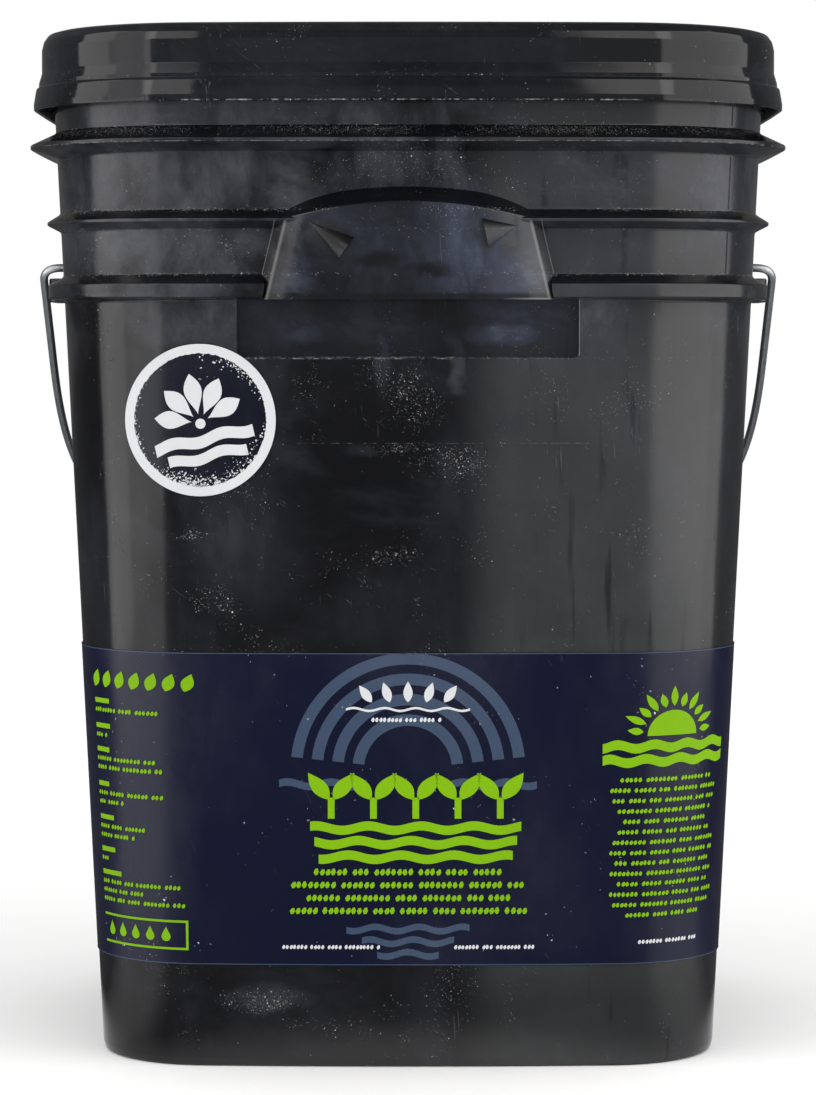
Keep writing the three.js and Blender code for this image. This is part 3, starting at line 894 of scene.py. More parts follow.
pail = {
    "steps": (26, 18, 14),
    "rowsOutside": 14.0,
    "rowsInside": 30.0,
    "wall": 2.4,
    "rimTop": 402.0,
    "stackingRib": (357.6, 360.8, 362.4, 367.2, 28.5),
    "middleRib": (327.8, 330.6, 331.8, 335.0, 21.9),
    "bailRib": (300.5, 301.3, 306.7, 310.1, 21.5),
    "ribEdge": 0.75,
    "ribRoot": 1.5,
    "foot": ((-2.2, 0.0, 0.6), (-0.5, 0.8, 1.0)),
    "footRound": (3.2, 3.0),
    "rim": ((21.1, 394.4, 0.8), (21.1, 398.6, 1.0), (20.0, 401.4, 0.8)),
    "rimInner": 19.2,
    "rimUnder": 393.0,
    "floorEdge": ((-4.4, 5.0, 3.0), (-11.0, 2.6, 0)),
    "floorRound": (10.0, 6.0),
}
grip = {
    "face": 25.0,
    "topHalf": 47.1,
    "bottomHalf": 54.4,
    "low": 300.5,
    "shoulder": 330.7,
    "crown": 337.6,
    "bevelWidth": 6.4,
    "flank": 4.2,
    "bevelFall": 8.0,
    "edgeRound": 1.1,
    "rollWidth": 24.0,
    "rollRadius": 54.0,
    "wall": 2.4,
    "pocketHalf": 66.1,
    "pocketFloor": 278.0,
    "pocketDepth": -1.0,
    "pocketCorner": 2.5,
    "ribGap": (8.0, 1.7, 2.4),  # how far it starts inside the flank, its width, and the round on top
    "gapPast": (0.4, 0.6),  # how far it reaches below and above the hoop
    "cones": (((-37.8, 330.2), (-23.7, 320.0), 5.2), ((42.2, 328.6), (29.6, 325.9), 5.8)),
    "coneFlattening": 0.7,
    "coneTip": 0.12,
    "blockReach": 60.0,  # how far in front of the wall the cutting blocks end
    "hoodOverlap": 2.0,
    "hollowBelow": 12.0,
}
ears = {
    "pivot": 315.2,
    "face": 149.4,
    "half": 19.0,
    "low": 300.5,
    "top": 310.5,
    "cornerRound": 4.0,
    "edgeRound": 0.8,
    "bossRadius": 8.5,
    "bossFace": 144.0,
    "boreRadius": 2.1,
    "boreFloor": 138.6,
    "boreEnd": 150.0,
}


# Masks of the finger grip: the hood, how hazy each part is, with its painted reflection and shade,
# and its pale edges, painted highlights with some wear.
def gripMarks(axes):
    x, y, z = axes
    sideways = calc("ABSOLUTE", x)
    slope = (grip["topHalf"] - grip["bottomHalf"]) / (grip["shoulder"] - grip["low"])
    half = calc("MULTIPLY_ADD", z, slope, (grip["bottomHalf"] - slope * grip["low"]) * mm)
    past = calc("SUBTRACT", sideways, half)
    onFace = calc("LESS_THAN", past, 0.6 * mm)
    hood = times(mapped(y, -0.126, -0.130), mapped(z, 0.348, 0.338), onFace)
    # The hood's haze is scaled: more at its left and right, a painted reflection, less in its middle, and
    # little at its foot, a painted shadow.
    left = mapped(x, -0.031, -0.049, 0.0, 0.95, True)
    right = mapped(x, 0.010, 0.029, 0.42, 1.66, True)
    foot = mapped(z, 0.3022, 0.3036, 0.25, 1.0)
    hoodPaintedLight = times(plus(left, right), foot)
    low, high = grip["pocketFloor"], grip["low"]
    inside = calc("LESS_THAN", sideways, grip["pocketHalf"] * mm)
    pocket = times(between(y, -118, 0), inside, between(z, low, high))
    tone = calc("MULTIPLY_ADD", hood, calc("SUBTRACT", hoodPaintedLight, 1.0), 1.0)
    # In the pocket the haze is cut back, most on its left: painted shade in the recess.
    pocketPaintedShade = mapped(x, 0.004, 0.03, -0.35, -0.05, True)
    tone = calc("MULTIPLY_ADD", pocket, pocketPaintedShade, tone)
    # The hood's face and the pocket take a bluish colour over their haze: a painted bluish reflection.
    tint = most(times(hood, mapped(past, -0.003, -0.013)), pocket)
    forward = calc("LESS_THAN", y, -0.120)
    atLip = times(mapped(x, 0.036, 0.047), onFace)
    # Pale edge lines, painted highlights with some wear, as (distance, where the line is, its width,
    # its strength, the stretch that it covers).
    lines = (
        (past, 0, 0.9, 0.24, between(z, high, grip["shoulder"])),
        (past, grip["flank"], 0.35, 0.2, between(z, 310.4, 331)),
        (x, grip["pocketHalf"], 0.35, 0.3, between(z, low + 1, high)),
        (z, high, 0.9, 0.3, atLip),
    )
    worn = 0.0
    for distance, at, width, strength, stretch in lines:
        line = lineMask(calc("SUBTRACT", distance, at * mm), width)
        worn = most(worn, times(line, stretch, forward, strength))
    return {"hood": hood, "tint": tint, "tone": tone, "worn": worn}


pailLedges = [(365.6, 3.2), (335.2, 1.4), (310.4, 1.2), (278.0, 0.7), (327.4, 0.7)]
# Pale lines on the front: painted highlights along edges, with some wear.
pailEdgeHighlights = [
    (278.0, 0.7, -66, 18, 1.0),
    (278.0, 0.3, 18, 60, 0.6),
    (361.0, 0.2, -200, 200, 1.0),
    (245.0, 0.3, -44, 70, 0.22),
]
pailPlastic = mouldedPlastic("pailPlastic", pailLook, pailLedges, pailEdgeHighlights, gripMarks)


def ribLine(rib):
    under, low, high, top, reach = rib
    edge, root = pail["ribEdge"], pail["ribRoot"]
    return [wallPoint(under, root), (reach, low, edge), (reach, high, edge), wallPoint(top, root)]


def outerLine():
    return [
        *pail["foot"],
        wallPoint(*pail["footRound"]),
        *ribLine(pail["bailRib"]),
        *ribLine(pail["middleRib"]),
        *ribLine(pail["stackingRib"]),
        wallPoint(pail["rimUnder"], 0.6),
        *pail["rim"],
        (pail["rimInner"], pail["rimTop"], 0.4),
    ]


def innerLine():
    ends = (pail["rimTop"], 0.4), pail["floorRound"]
    return [(wallAt(z) - pail["wall"], z, radius) for z, radius in ends] + list(pail["floorEdge"])


# A closed block drawn in the front plane, between two distances in front of the middle.
def frontBlock(name, outline, back, front):
    verts = [(x * mm, -y * mm, z * mm) for y in (back, front) for x, z in outline]
    return outward(newObject(name, verts, (), prismFaces(len(outline))))


def outward(piece):
    with edited(piece) as work:
        bmesh.ops.remove_doubles(work, verts=work.verts, dist=tiny)
        bmesh.ops.recalc_face_normals(work, faces=work.faces)
    return piece


# The pocket's outline from the upper left to the upper right, with two round corners below.
def pocketOutline(half, low, high, corner, cuts=6):
    turns = [math.pi / 2 * k / cuts for k in range(cuts + 1)]
    bend = [(half - corner + corner * math.cos(t), low + corner - corner * math.sin(t)) for t in turns]
    return [(-half, high), *[(-x, z) for x, z in bend], *bend[::-1], (half, high)]


def hoodHalf(z):
    share = (z - grip["low"]) / (grip["shoulder"] - grip["low"])
    return grip["bottomHalf"] + (grip["topHalf"] - grip["bottomHalf"]) * share


# How far in front of the middle the hood's face is.
def hoodFace(x, z):
    past = max(0.0, abs(x) - (hoodHalf(z) - grip["rollWidth"]))
    return frontWall + grip["face"] - past**2 / (2 * grip["rollRadius"])


# The border round the hood's face, in steps of (out, back): a rounded shoulder, then the slope.
def borderSteps():
    radius, border, fall = grip["edgeRound"], grip["bevelWidth"], grip["bevelFall"]
    slope = math.atan2(fall, border)
    turns = [slope * k / 3 for k in (1, 2, 3)]
    return [(radius * math.sin(t), radius * (1 - math.cos(t))) for t in turns] + [(border, fall)]


# The hood over the grip: a face that rolls back at both sides, with a sloped border on its sides and
# arch. Inset makes the smaller block that hollows it.
def hoodBlock(name, inset, low, back, columns=56, rows=18):
    crownRise = grip["crown"] - grip["shoulder"]

    def half(z):
        return hoodHalf(z) - inset

    def top(x):
        return grip["shoulder"] + crownRise * (1 - (x / grip["topHalf"]) ** 2) - inset

    def face(x, z):
        return hoodFace(x, z) - inset

    verts, faces = [], gridFaces(columns, rows)
    for i in range(columns + 1):
        share = -math.cos(math.pi * i / columns) * 0.35 + (2 * i / columns - 1) * 0.65
        for j in range(rows + 1):
            guess = half(low + (top(0) - low) * j / rows)
            x = share * guess
            z = low + (top(x) - low) * j / rows
            x = share * half(z)
            verts.append((x, face(x, z), z))
    left = list(range(rows + 1))
    arch = [i * (rows + 1) + rows for i in range(1, columns)]
    right = [columns * (rows + 1) + j for j in range(rows, -1, -1)]
    rings = [left + arch + right]
    edge = rings[0]

    def addRing(points):
        rings.append([len(verts) + k for k in range(len(points))])
        verts.extend(points)
        faces.extend(bridge(*rings[-2:]))

    for out, drop in () if inset else borderSteps():
        points = []
        for k, v in enumerate(edge):
            x, y, z = verts[v]
            before, after = verts[edge[max(0, k - 1)]], verts[edge[min(len(edge) - 1, k + 1)]]
            normal = Vector((before[2] - after[2], after[0] - before[0])).normalized()
            if k in (0, len(edge) - 1) or z <= low + 1e-6:
                normal = Vector((math.copysign(1, x), 0))
            points.append((x + normal.x * out, y - drop, z + normal.y * out))
        addRing(points)
    addRing([(verts[v][0], back, verts[v][2]) for v in rings[-1]])
    faces.append(rings[-1])
    # The underside, along the face's lower edge and the ends of the rings.
    below = [line[0] for line in rings[:0:-1]]
    below += [i * (rows + 1) for i in range(columns + 1)]
    below += [line[-1] for line in rings[1:]]
    faces.append(below)
    piece = newObject(name, [(x * mm, -y * mm, z * mm) for x, y, z in verts], (), faces)
    return outward(piece)


# The room between the hood's flank and the rounded end of the bail hoop, on one side. It is cut before
# the hood is joined on, so that the flank shows down to its foot.
def ribGap(side, cuts=8):
    inside, gap, softened = grip["ribGap"]
    low, _, _, high, reach = pail["bailRib"]
    low, high = low - grip["gapPast"][0], high + grip["gapPast"][1]
    line = [(hoodHalf(z) - inside, z) for z in (low, high)]
    for k in range(cuts + 1):
        share = k / cuts
        z = high + (low - high) * share
        line.append((hoodHalf(z) + gap + softened * (1 - share) ** 3, z))
    back, front = frontWall + wallAt(high) - 1, frontWall + reach + 5
    return frontBlock(f"ribGap{side}", [(side * x, z) for x, z in line], back, front)


def ribGaps():
    return [("DIFFERENCE", ribGap(side)) for side in (-1, 1)]


def bridge(first, second):
    return [[first[k], second[k], second[k + 1], first[k + 1]] for k in range(len(first) - 1)]


def newBar(startRadius, endRadius, length, segments):
    work = bmesh.new()
    bmesh.ops.create_cone(
        work,
        cap_ends=True,
        segments=segments,
        radius1=startRadius * mm,
        radius2=endRadius * mm,
        depth=length * mm,
    )
    return work


def soften(work, edges, offset, segments=3):
    bmesh.ops.bevel(work, geom=edges, offset=offset * mm, segments=segments, profile=0.5, affect="EDGES")


def coneBlock(name, tip, wide, radius):
    run = Vector((tip[0] - wide[0], 0, tip[1] - wide[1]))
    work = newBar(radius, grip["coneTip"], run.length, 40)
    squash = Matrix.Diagonal((1, grip["coneFlattening"], 1, 1))
    turn = Matrix.Rotation(math.atan2(run.x, run.z), 4, "Y")
    work.transform(turn @ squash)
    for vert in work.verts:
        x, z = vert.co.x / mm + (tip[0] + wide[0]) / 2, vert.co.z / mm + (tip[1] + wide[1]) / 2
        vert.co = Vector((x, vert.co.y / mm - hoodFace(x, z), z)) * mm
    return objectFrom(name, work)


# A round bar along X on one side, for a boss or its bore.
def sideBar(name, side, radius, start, end, segments, softened=0.0):
    work = newBar(radius, radius, end - start, segments)
    if softened:
        soften(work, [e for e in work.edges if e.calc_face_angle(0) > 1], softened)
    turn = Matrix.Rotation(math.pi / 2, 4, "Y")
    middle = Vector((side * (start + end) / 2, 0, ears["pivot"])) * mm
    work.transform(Matrix.Translation(middle) @ turn)
    return objectFrom(name, work)


def earBlock(name, side):
    inner = sideWall + wallAt(ears["low"]) - 1
    low, top, half, face = ears["low"], ears["top"], ears["half"], ears["face"]
    work = bmesh.new()
    bmesh.ops.create_cube(work, size=1)
    scale = Matrix.Diagonal(((face - inner) * mm, 2 * half * mm, (top - low) * mm, 1))
    middle = Vector((side * (inner + face) / 2, 0, (low + top) / 2)) * mm
    work.transform(Matrix.Translation(middle) @ scale)

    def outerEdges(reach):
        return [e for e in work.edges if all(abs(v.co.x) / mm > reach for v in e.verts)]

    upright = [e for e in outerEdges(face - 1) if abs(e.verts[0].co.z - e.verts[1].co.z) > 1e-4]
    soften(work, upright, ears["cornerRound"], 6)
    soften(work, [e for e in outerEdges(inner + 0.5) if e.calc_face_angle(0) > 1], ears["edgeRound"])
    bmesh.ops.recalc_face_normals(work, faces=work.faces)
    return objectFrom(name, work)


def buildPail():
    outer = split(rounded(outerLine()), pail["rowsOutside"])
    inner = split(rounded(innerLine()), pail["rowsInside"])
    shell = sweepSection("pailShell", outer + inner, pailPlastic, pail["steps"])
    block = sweepSection("pailBlock", outer, pailPlastic, pail["steps"])
    low, wall, past = grip["low"], grip["wall"], frontWall + grip["blockReach"]
    floor, half, corner = grip["pocketFloor"], grip["pocketHalf"], grip["pocketCorner"]
    pocketBack = frontWall + grip["pocketDepth"]
    around = pocketOutline(half + wall, floor - wall, low + wall, corner + wall)
    liner = frontBlock("pocketLiner", around, pocketBack - wall, past)
    combine(liner, ("INTERSECT", copyOf(block)), *ribGaps())
    hoodLiner = hoodBlock("hoodLiner", -0.01, low - wall, pocketBack - wall, rows=10)
    combine(hoodLiner, ("INTERSECT", block), *ribGaps())
    hood = hoodBlock("hoodBlock", 0, low, pocketBack + grip["hoodOverlap"])
    pocket = frontBlock("pocketCut", pocketOutline(half, floor, low, corner), pocketBack, past)
    hollow = hoodBlock("hoodHollow", wall, low - grip["hollowBelow"], pocketBack, rows=12)
    cuts = [*ribGaps(), ("UNION", liner), ("UNION", hoodLiner), ("UNION", hood)]
    cuts += [("UNION", coneBlock(f"cone{k}", *cone)) for k, cone in enumerate(grip["cones"])]
    for side in (-1, 1):
        ends = (sideWall, ears["bossFace"])
        boss = sideBar(f"boss{side}", side, ears["bossRadius"], *ends, 48, ears["edgeRound"])
        cuts += [("UNION", earBlock(f"ear{side}", side)), ("UNION", boss)]
    cuts += [("DIFFERENCE", pocket), ("DIFFERENCE", hollow)]
    for side in (-1, 1):
        ends = (ears["boreFloor"], ears["boreEnd"])
        bore = sideBar(f"bore{side}", side, ears["boreRadius"], *ends, 24)
        cuts.append(("DIFFERENCE", bore))
    return shade(combine(shell, *cuts))


pailShell = finishPiece(buildPail(), pailPlastic, "pail_body", "pail_plastic", "pail")
print("pail built:", len(pailShell.data.polygons), "faces")

# lid, its webs and its seal

lid = {
    "steps": (26, 20, 14),
    "rows": 6.0,
    "section": [
        (10.3, 396.4, 0),
        (12.2, 403.1, 1.0),
        (13.4, 404.0, 0.8),
        (18.2, 404.0, 1.2),
        (20.2, 402.8, 1.0),
        (21.7, 399.8, 1.5),
        (21.6, 394.2, 0.8),
        (20.2, 392.6, 0.7),
        (20.2, 391.1, 0.7),
        (21.4, 389.7, 0.8),
        (22.2, 387.2, 1.5),
        (23.7, 384.6, 1.5),
        (25.5, 376.3, 0.3),
        (27.1, 376.3, 0.5),
        (27.2, 378.8, 1.5),
        (26.2, 384.8, 1.0),
        (25.1, 385.6, 0.5),
        (25.1, 387.2, 0.8),
        (23.9, 391.2, 1.2),
        (23.9, 400.4, 2.5),
        (23.1, 403.6, 2.2),
        (21.2, 406.2, 2.0),
        (18.2, 407.0, 2.0),
        (11.6, 407.0, 1.6),
        (9.9, 405.6, 1.2),
        (8.0, 398.6, 1.4),
        (4.0, 398.6, 0),
    ],
    "webs": 44,
    "webThickness": 1.4,
    "web": [(22.3, 381.2), (26.2, 378.5), (26.2, 379.8), (24.2, 385.8), (22.3, 388.4)],
}


def buildLid():
    line = split(rounded(lid["section"], 5), lid["rows"])
    return shade(sweepSection("lidShell", line, lidPlastic, lid["steps"]))


def buildWebs():
    half = lid["webThickness"] / 2
    verts = [(x * mm, side * half * mm, z * mm) for side in (-1, 1) for x, z in lid["web"]]
    web = outward(newObject("lidWebs", verts, (), prismFaces(len(lid["web"]))))
    return shade(runTree(web, repeatTree, {"Count": lid["webs"], "Material": lidPlastic}))


flash = {
    "turn": 50.0,
    "stretches": ((311, 327), (336, 356.5), (368.5, 376)),
    "half": 0.35,
    "rise": 0.3,
    "sunk": 0.15,
}


# The mould's parting lines: a thin ridge of flash up each corner, between the hoops.
def buildFlash():
    verts, faces = [], []
    middle = math.radians(flash["turn"])
    corners = [(sideX, sideY) for sideX in (-1, 1) for sideY in (-1, 1)]
    for sideX, sideY in corners:
        for stretch in flash["stretches"]:
            faces += [[len(verts) + k for k in face] for face in prismFaces(3)]
            for z in stretch:
                radius = plan["cornerRadius"] / mm + wallAt(z)
                wide = flash["half"] / radius
                for turn, out in ((-wide, -flash["sunk"]), (0, flash["rise"]), (wide, -flash["sunk"])):
                    reach = (radius + out) * mm
                    x = solved["cornerX"] + reach * math.sin(middle + turn)
                    y = solved["cornerY"] + reach * math.cos(middle + turn)
                    verts.append((sideX * x, sideY * y, z * mm))
    return outward(newObject("partingLines", verts, (), faces))


finishPiece(buildFlash(), pailPlastic, "pail_body", "pail_plastic", "pail")
lidShell = finishPiece(buildLid(), lidPlastic, "pail_body", "lid_plastic", "lid")
finishPiece(buildWebs(), lidPlastic, "pail_body", "lid_plastic", "lid")
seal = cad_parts["lid_gasket"]
seal.data.materials.clear()
seal.data.materials.append(rubber)
print("lid built:", len(lidShell.data.polygons), "faces")


# bail: galvanised wire with a roller grip

bail = {
    "pivot": 315.2,
    "wireRadius": 1.7,
    "tip": 139.1,
    "elbow": 8.0,
    "armOut": 153.6,
    "armSteps": (20, 35, 50),
    "armStraight": 62.0,
    "depth": 180.0,
    "flat": 50.0,
    "collar": 12.0,
    "gap": 0.3,
    "rollerRadius": 10.6,
    "rollerHalf": 46.0,
    "rollerCollar": 3.4,
    "rollerBore": 2.2,
    "ridges": 9,
    "ridgeDepth": 0.5,
    "plainEnd": 6.0,
}


def restingLean():
    slant = math.atan(plan["wallLean"])
    wallHere = frontWall + wallAt(bail["pivot"])
    stand = (bail["collar"] + bail["gap"]) / math.cos(slant)
    return math.asin((wallHere + stand) * math.cos(slant) / bail["depth"]) - slant


# Turns a place that hangs straight below the pivots to where the bail rests.
def hang(x, y, z):
    lean = restingLean()
    return (
        x * mm,
        (y * math.cos(lean) - z * math.sin(lean)) * mm,
        (bail["pivot"] + y * math.sin(lean) + z * math.cos(lean)) * mm,
    )


def curvePoints(points, cuts):
    found = []
    for k in range(cuts + 1):
        row = [Vector(p) for p in points]
        t = k / cuts
        while len(row) > 1:
            row = [a.lerp(b, t) for a, b in zip(row, row[1:])]
        found.append(row[0])
    return found


def buildWire():
    out, deep = bail["armOut"], bail["depth"]
    side = [Vector((bail["tip"], 0))]
    side += curvePoints([(out - bail["elbow"], 0), (out, 0), (out, -bail["elbow"])], 12)
    side += [Vector((out, -z)) for z in bail["armSteps"]]
    bend = [(out, -bail["armStraight"]), (out, -0.9 * deep), (0.88 * out, -deep), (bail["flat"], -deep)]
    side += curvePoints(bend, 44)
    verts = [hang(-p.x, 0, p.y) for p in side] + [hang(p.x, 0, p.y) for p in reversed(side)]
    path = newObject("bailWire", verts, [(i, i + 1) for i in range(len(verts) - 1)])
    values = {"Radius": bail["wireRadius"] * mm, "Sides": 24, "Material": galvanisedWire}
    return shade(runTree(path, tubeTree, values), 50)


def buildRoller(around=64):
    half, waist = bail["rollerHalf"], bail["rollerHalf"] - bail["rollerCollar"]
    bore, radius, collar = bail["rollerBore"], bail["rollerRadius"], bail["collar"]
    section = [(-half, bore), (-half, collar, 0.8), (-waist, collar, 0.8), (1.2 - waist, radius, 0.6)]
    ends, dip = bail["plainEnd"], radius - bail["ridgeDepth"]
    pitch = 2 * (waist - ends) / bail["ridges"]
    for k in range(bail["ridges"]):
        middle = ends - waist + pitch * (k + 0.5)
        groove = ((-1.6, radius), (-1.0, dip), (1.0, dip), (1.6, radius))
        section += [(middle + away, height, 0.4) for away, height in groove]
    section += [(waist - 1.2, radius, 0.6), (waist, collar, 0.8), (half, collar, 0.8), (half, bore)]
    line = rounded(section)
    verts, faces, count = [], [], len(line)
    for k in range(around):
        turn = 2 * math.pi * k / around
        verts += [hang(p.x, p.y * math.cos(turn), p.y * math.sin(turn) - bail["depth"]) for p in line]
        a, b = k * count, (k + 1) % around * count
        faces += [[a + i, a + (i + 1) % count, b + (i + 1) % count, b + i] for i in range(count)]
    return shade(outward(newObject("bailRoller", verts, (), faces)))


finishPiece(buildWire(), galvanisedWire, "bail", "galvanised_wire", "bail_wire")
finishPiece(buildRoller(), rollerPlastic, "roller", "roller_plastic", "bail_roller")
print("bail built")


# label and sticker films

film = {
    "low": 40.6,
    "high": 163.4,
    "seam": 6.0,
    "inner": 0.12,
    "outer": 0.5,
    "stickerCentre": (-80.6, 253.9),
    "stickerRadius": 29.7,
}
ink = {"lift": 0.54, "thickness": 0.05, "slice": 2.5}
wholeRun = 4 * quarterRun / mm


# Slices flat artwork into narrow upright strips, so that it can follow the wall.
def slicePiece(piece, longest):
    with edited(piece) as work:
        xs = [v.co.x for v in work.verts]
        place = math.floor(min(xs) / longest) * longest + longest
        while place < max(xs):
            whole = work.verts[:] + work.edges[:] + work.faces[:]
            bmesh.ops.bisect_plane(work, geom=whole, dist=1e-8, plane_co=(place, 0, 0), plane_no=(1, 0, 0))
            place += longest


def solidify(piece, thickness):
    modifier = piece.modifiers.new("thickness", "SOLIDIFY")
    modifier.thickness = thickness * mm
    modifier.offset = 1
    modifier.use_even_offset = False


# The run of a place on the front that is drawn by its distance X from the middle.
def runAt(x, z, lift):
    offset = (wallAt(z) + lift) * mm
    reach = abs(x) * mm
    turn = math.asin(min(1, reach / (plan["frontBow"] + offset)))
    if turn > solved["frontTurn"]:
        turn = math.asin(min(1, (reach - solved["cornerX"]) / (plan["cornerRadius"] + offset)))
        run = solved["frontRun"] + (turn - solved["frontTurn"]) * plan["cornerRadius"]
    else:
        run = turn * plan["frontBow"]
    return math.copysign(run / mm, x)


# Flat loops of (x, z) in millimetres become a thin printed layer on the wall.
def printLoops(name, loops, material, slot, lift=None, byFront=False, thickness=None, nodes=()):
    lift = ink["lift"] if lift is None else lift
    work = bmesh.new()
    for loop in loops:
        work.faces.new([work.verts.new((x * mm, z * mm, 0)) for x, z in loop])
    for face in work.faces:
        if face.normal.z < 0:
            face.normal_flip()
    bmesh.ops.triangulate(work, faces=[f for f in work.faces if len(f.verts) > 4])
    piece = objectFrom(name, work)
    slicePiece(piece, ink["slice"] * mm)
    for vert in piece.data.vertices:
        if byFront:
            vert.co.x = runAt(vert.co.x / mm, vert.co.y / mm, lift) * mm
        vert.co.z = lift * mm
    solidify(piece, thickness or ink["thickness"])
    runTree(piece, wrapTree, {"Material": material})
    return finishPiece(shade(piece), material, "pail_body", slot, *nodes)


def buildLabelFilm(columns=260, rows=5):
    half = (wholeRun - film["seam"]) / 2
    xs = [half * (2 * i / columns - 1) for i in range(columns + 1)]
    zs = [film["low"] + (film["high"] - film["low"]) * j / rows for j in range(rows + 1)]
    verts = [(x * mm, z * mm, film["inner"] * mm) for x in xs for z in zs]
    piece = newObject("labelFilm", verts, (), gridFaces(columns, rows))
    solidify(piece, film["outer"] - film["inner"])
    return shade(runTree(piece, wrapTree, {"Material": navyFilm}))


finishPiece(buildLabelFilm(), navyFilm, "pail_body", "label_film", "label_wrap")
print("label film built")


# printed motifs, all drawn flat as loops of (x, z)

draw = random.Random(41)


# The place that lies across and along from (x, z), with along turned from upright by an angle in degrees.
def aside(x, z, across, along, degrees):
    sine, cosine = math.sin(math.radians(degrees)), math.cos(math.radians(degrees))
    return x + along * sine + across * cosine, z + along * cosine - across * sine


def leaf(x, z, length, width, turn, bend=0.0, cuts=9, swell=0.85):
    loop = []
    for side in (1, -1):
        for k in range(cuts + 1) if side > 0 else range(cuts - 1, 0, -1):
            t = k / cuts
            across = side * width / 2 * math.sin(math.pi * t**swell) + bend * math.sin(math.pi * t / 2) ** 2
            loop.append(aside(x, z, across, t * length, turn))
    return loop


def bar(x0, x1, z, thick, wave=0.0, pitch=20.0, phase=0.0):
    count = max(2, round((x1 - x0) / 1.5)) if wave else 1
    xs = [x0 + (x1 - x0) * k / count for k in range(count + 1)]
    line = [z + wave * math.sin(2 * math.pi * x / pitch + phase) for x in xs]
    lower, upper = ([(x, y + side * thick / 2) for x, y in zip(xs, line)] for side in (-1, 1))
    return [[lower[k], lower[k + 1], upper[k + 1], upper[k]] for k in range(count)]


def disc(x, z, radius, sides=24, start=0.0, end=360.0):
    turns = [math.radians(start + (end - start) * k / sides) for k in range(sides + (end - start < 360))]
    return [(x + radius * math.cos(t), z + radius * math.sin(t)) for t in turns]


def ringPart(x, z, inner, outer, start=0.0, end=360.0, sides=40, ragged=0.0):
    loops, jag = [], [ragged * draw.random() ** 2 for _ in range(sides + 1)]
    jag[-1] = jag[0] if end - start >= 360 else jag[-1]
    for k in range(sides):
        a, b = (math.radians(start + (end - start) * (k + n) / sides) for n in (0, 1))
        corners = ((inner + jag[k], a), (outer, a), (outer, b), (inner + jag[k + 1], b))
        loops.append([(x + reach * math.cos(t), z + reach * math.sin(t)) for reach, t in corners])
    return loops


def drop(x, z, size):
    return [(x, z + 1.5 * size), *disc(x, z, size * 0.7, 12, 30, -210)]


# A row of seed-like grains in short groups, from one place to another.
def grainRow(x0, x1, z, tall):
    loops, x = [], x0
    wide = tall * labelArt["grainWidth"]
    left = draw.randint(3, 8)
    while x + wide < x1:
        lean, share = draw.uniform(8, 26), draw.uniform(0.88, 1.0)
        loops.append(grain(x + wide / 2 - tall * 0.18, z - tall / 2, tall * share, wide, lean))
        x += wide * (1 + labelArt["grainGap"])
        left -= 1
        if left == 0:
            x += wide * 0.9
            left = draw.randint(3, 8)
    return loops


def grain(x, z, tall, wide, lean):
    outline = ((0.0, 0.0), (0.42, 0.2), (0.5, 0.6), (0.12, 1.0), (-0.3, 0.86), (-0.5, 0.35))
    return [aside(x, z, across * wide, along * tall, lean) for across, along in outline]


def grainBlock(x, z, widths, tall, pitch):
    return [g for k, w in enumerate(widths) for g in grainRow(x - w / 2, x + w / 2, z - k * pitch, tall)]


# A young plant: a stem with one pair of rounded seed leaves.
def seedling(x, z, tall, wide):
    loops = bar(x - wide * 0.075, x + wide * 0.075, z + tall * 0.2, tall * 0.4)
    for side in (-1, 1):
        base = (x + side * wide * 0.05, z + tall * 0.36)
        loops.append(leaf(*base, tall * 0.64, wide * 0.34, side * 33, side * wide * 0.06, 14))
    return loops


# A field emblem: a row of seedlings over wavy furrows.
def fieldEmblem(x, z, width, tall, count=5):
    loops = []
    pitch = width / count
    for k in range(count):
        loops += seedling(x + (k - (count - 1) / 2) * pitch, z + tall * 0.46, tall * 0.56, pitch * 1.06)
    for k in range(3):
        half, height = width * (0.5 - 0.02 * k), z + tall * (0.36 - 0.155 * k)
        loops += bar(x - half, x + half, height, tall * 0.098, tall * 0.024, width * 0.25, k * 1.2)
    return loops


def sunMotif(x, z, radius, rays=11, start=8.0, end=172.0):
    loops = [disc(x, z, radius * 0.52, 24, 0, 180)]
    for k in range(rays):
        turn = start + (end - start) * k / (rays - 1)
        a = math.radians(turn)
        length = radius * (0.42 if k % 2 else 0.3)
        place = (x + radius * 0.6 * math.cos(a), z + radius * 0.6 * math.sin(a))
        loops.append(leaf(*place, length, radius * 0.15, 90 - turn, cuts=5))
    return loops


def sprig(x, z, length, turn, pairs, size):
    loops = []
    for k in range(pairs):
        t = 0.16 + 0.76 * k / pairs
        for side in (-1, 1):
            place = aside(x, z, side * size * 0.09, length * t, turn)
            loops.append(leaf(*place, size * (1.05 - 0.5 * t), size * 0.3, turn + side * 48, side * -0.4))
    loops.append(leaf(x, z, length * 0.96, size * 0.1, turn))
    return loops


labelArt = {
    "grainWidth": 0.64,
    "grainGap": 0.16,
    "leftAt": -87.5,
    "rightAt": 101.5,
    "pastRight": 14.0,
    "pastLeft": 20.0,
    "fromSeam": 56.0,
    "emblemWidth": 82.0,
    "emblemTall": 37.0,
    "rowHeight": 3.0,
    "rowPitch": 5.1,
    "smallHeight": 2.1,
    "smallPitch": 4.1,
    # Groups of rows on the left panel: height, length of the heading, lengths of the rows.
    "leftRows": (
        (142.6, 9, (33,)),
        (132.6, 9, (8,)),
        (123.2, 8, (29, 33)),
        (109.5, 7, (32, 15)),
        (96.2, 9, (26, 20)),
        (83.4, 9, (7,)),
        (74.2, 12, (40, 24, 40)),
    ),
}


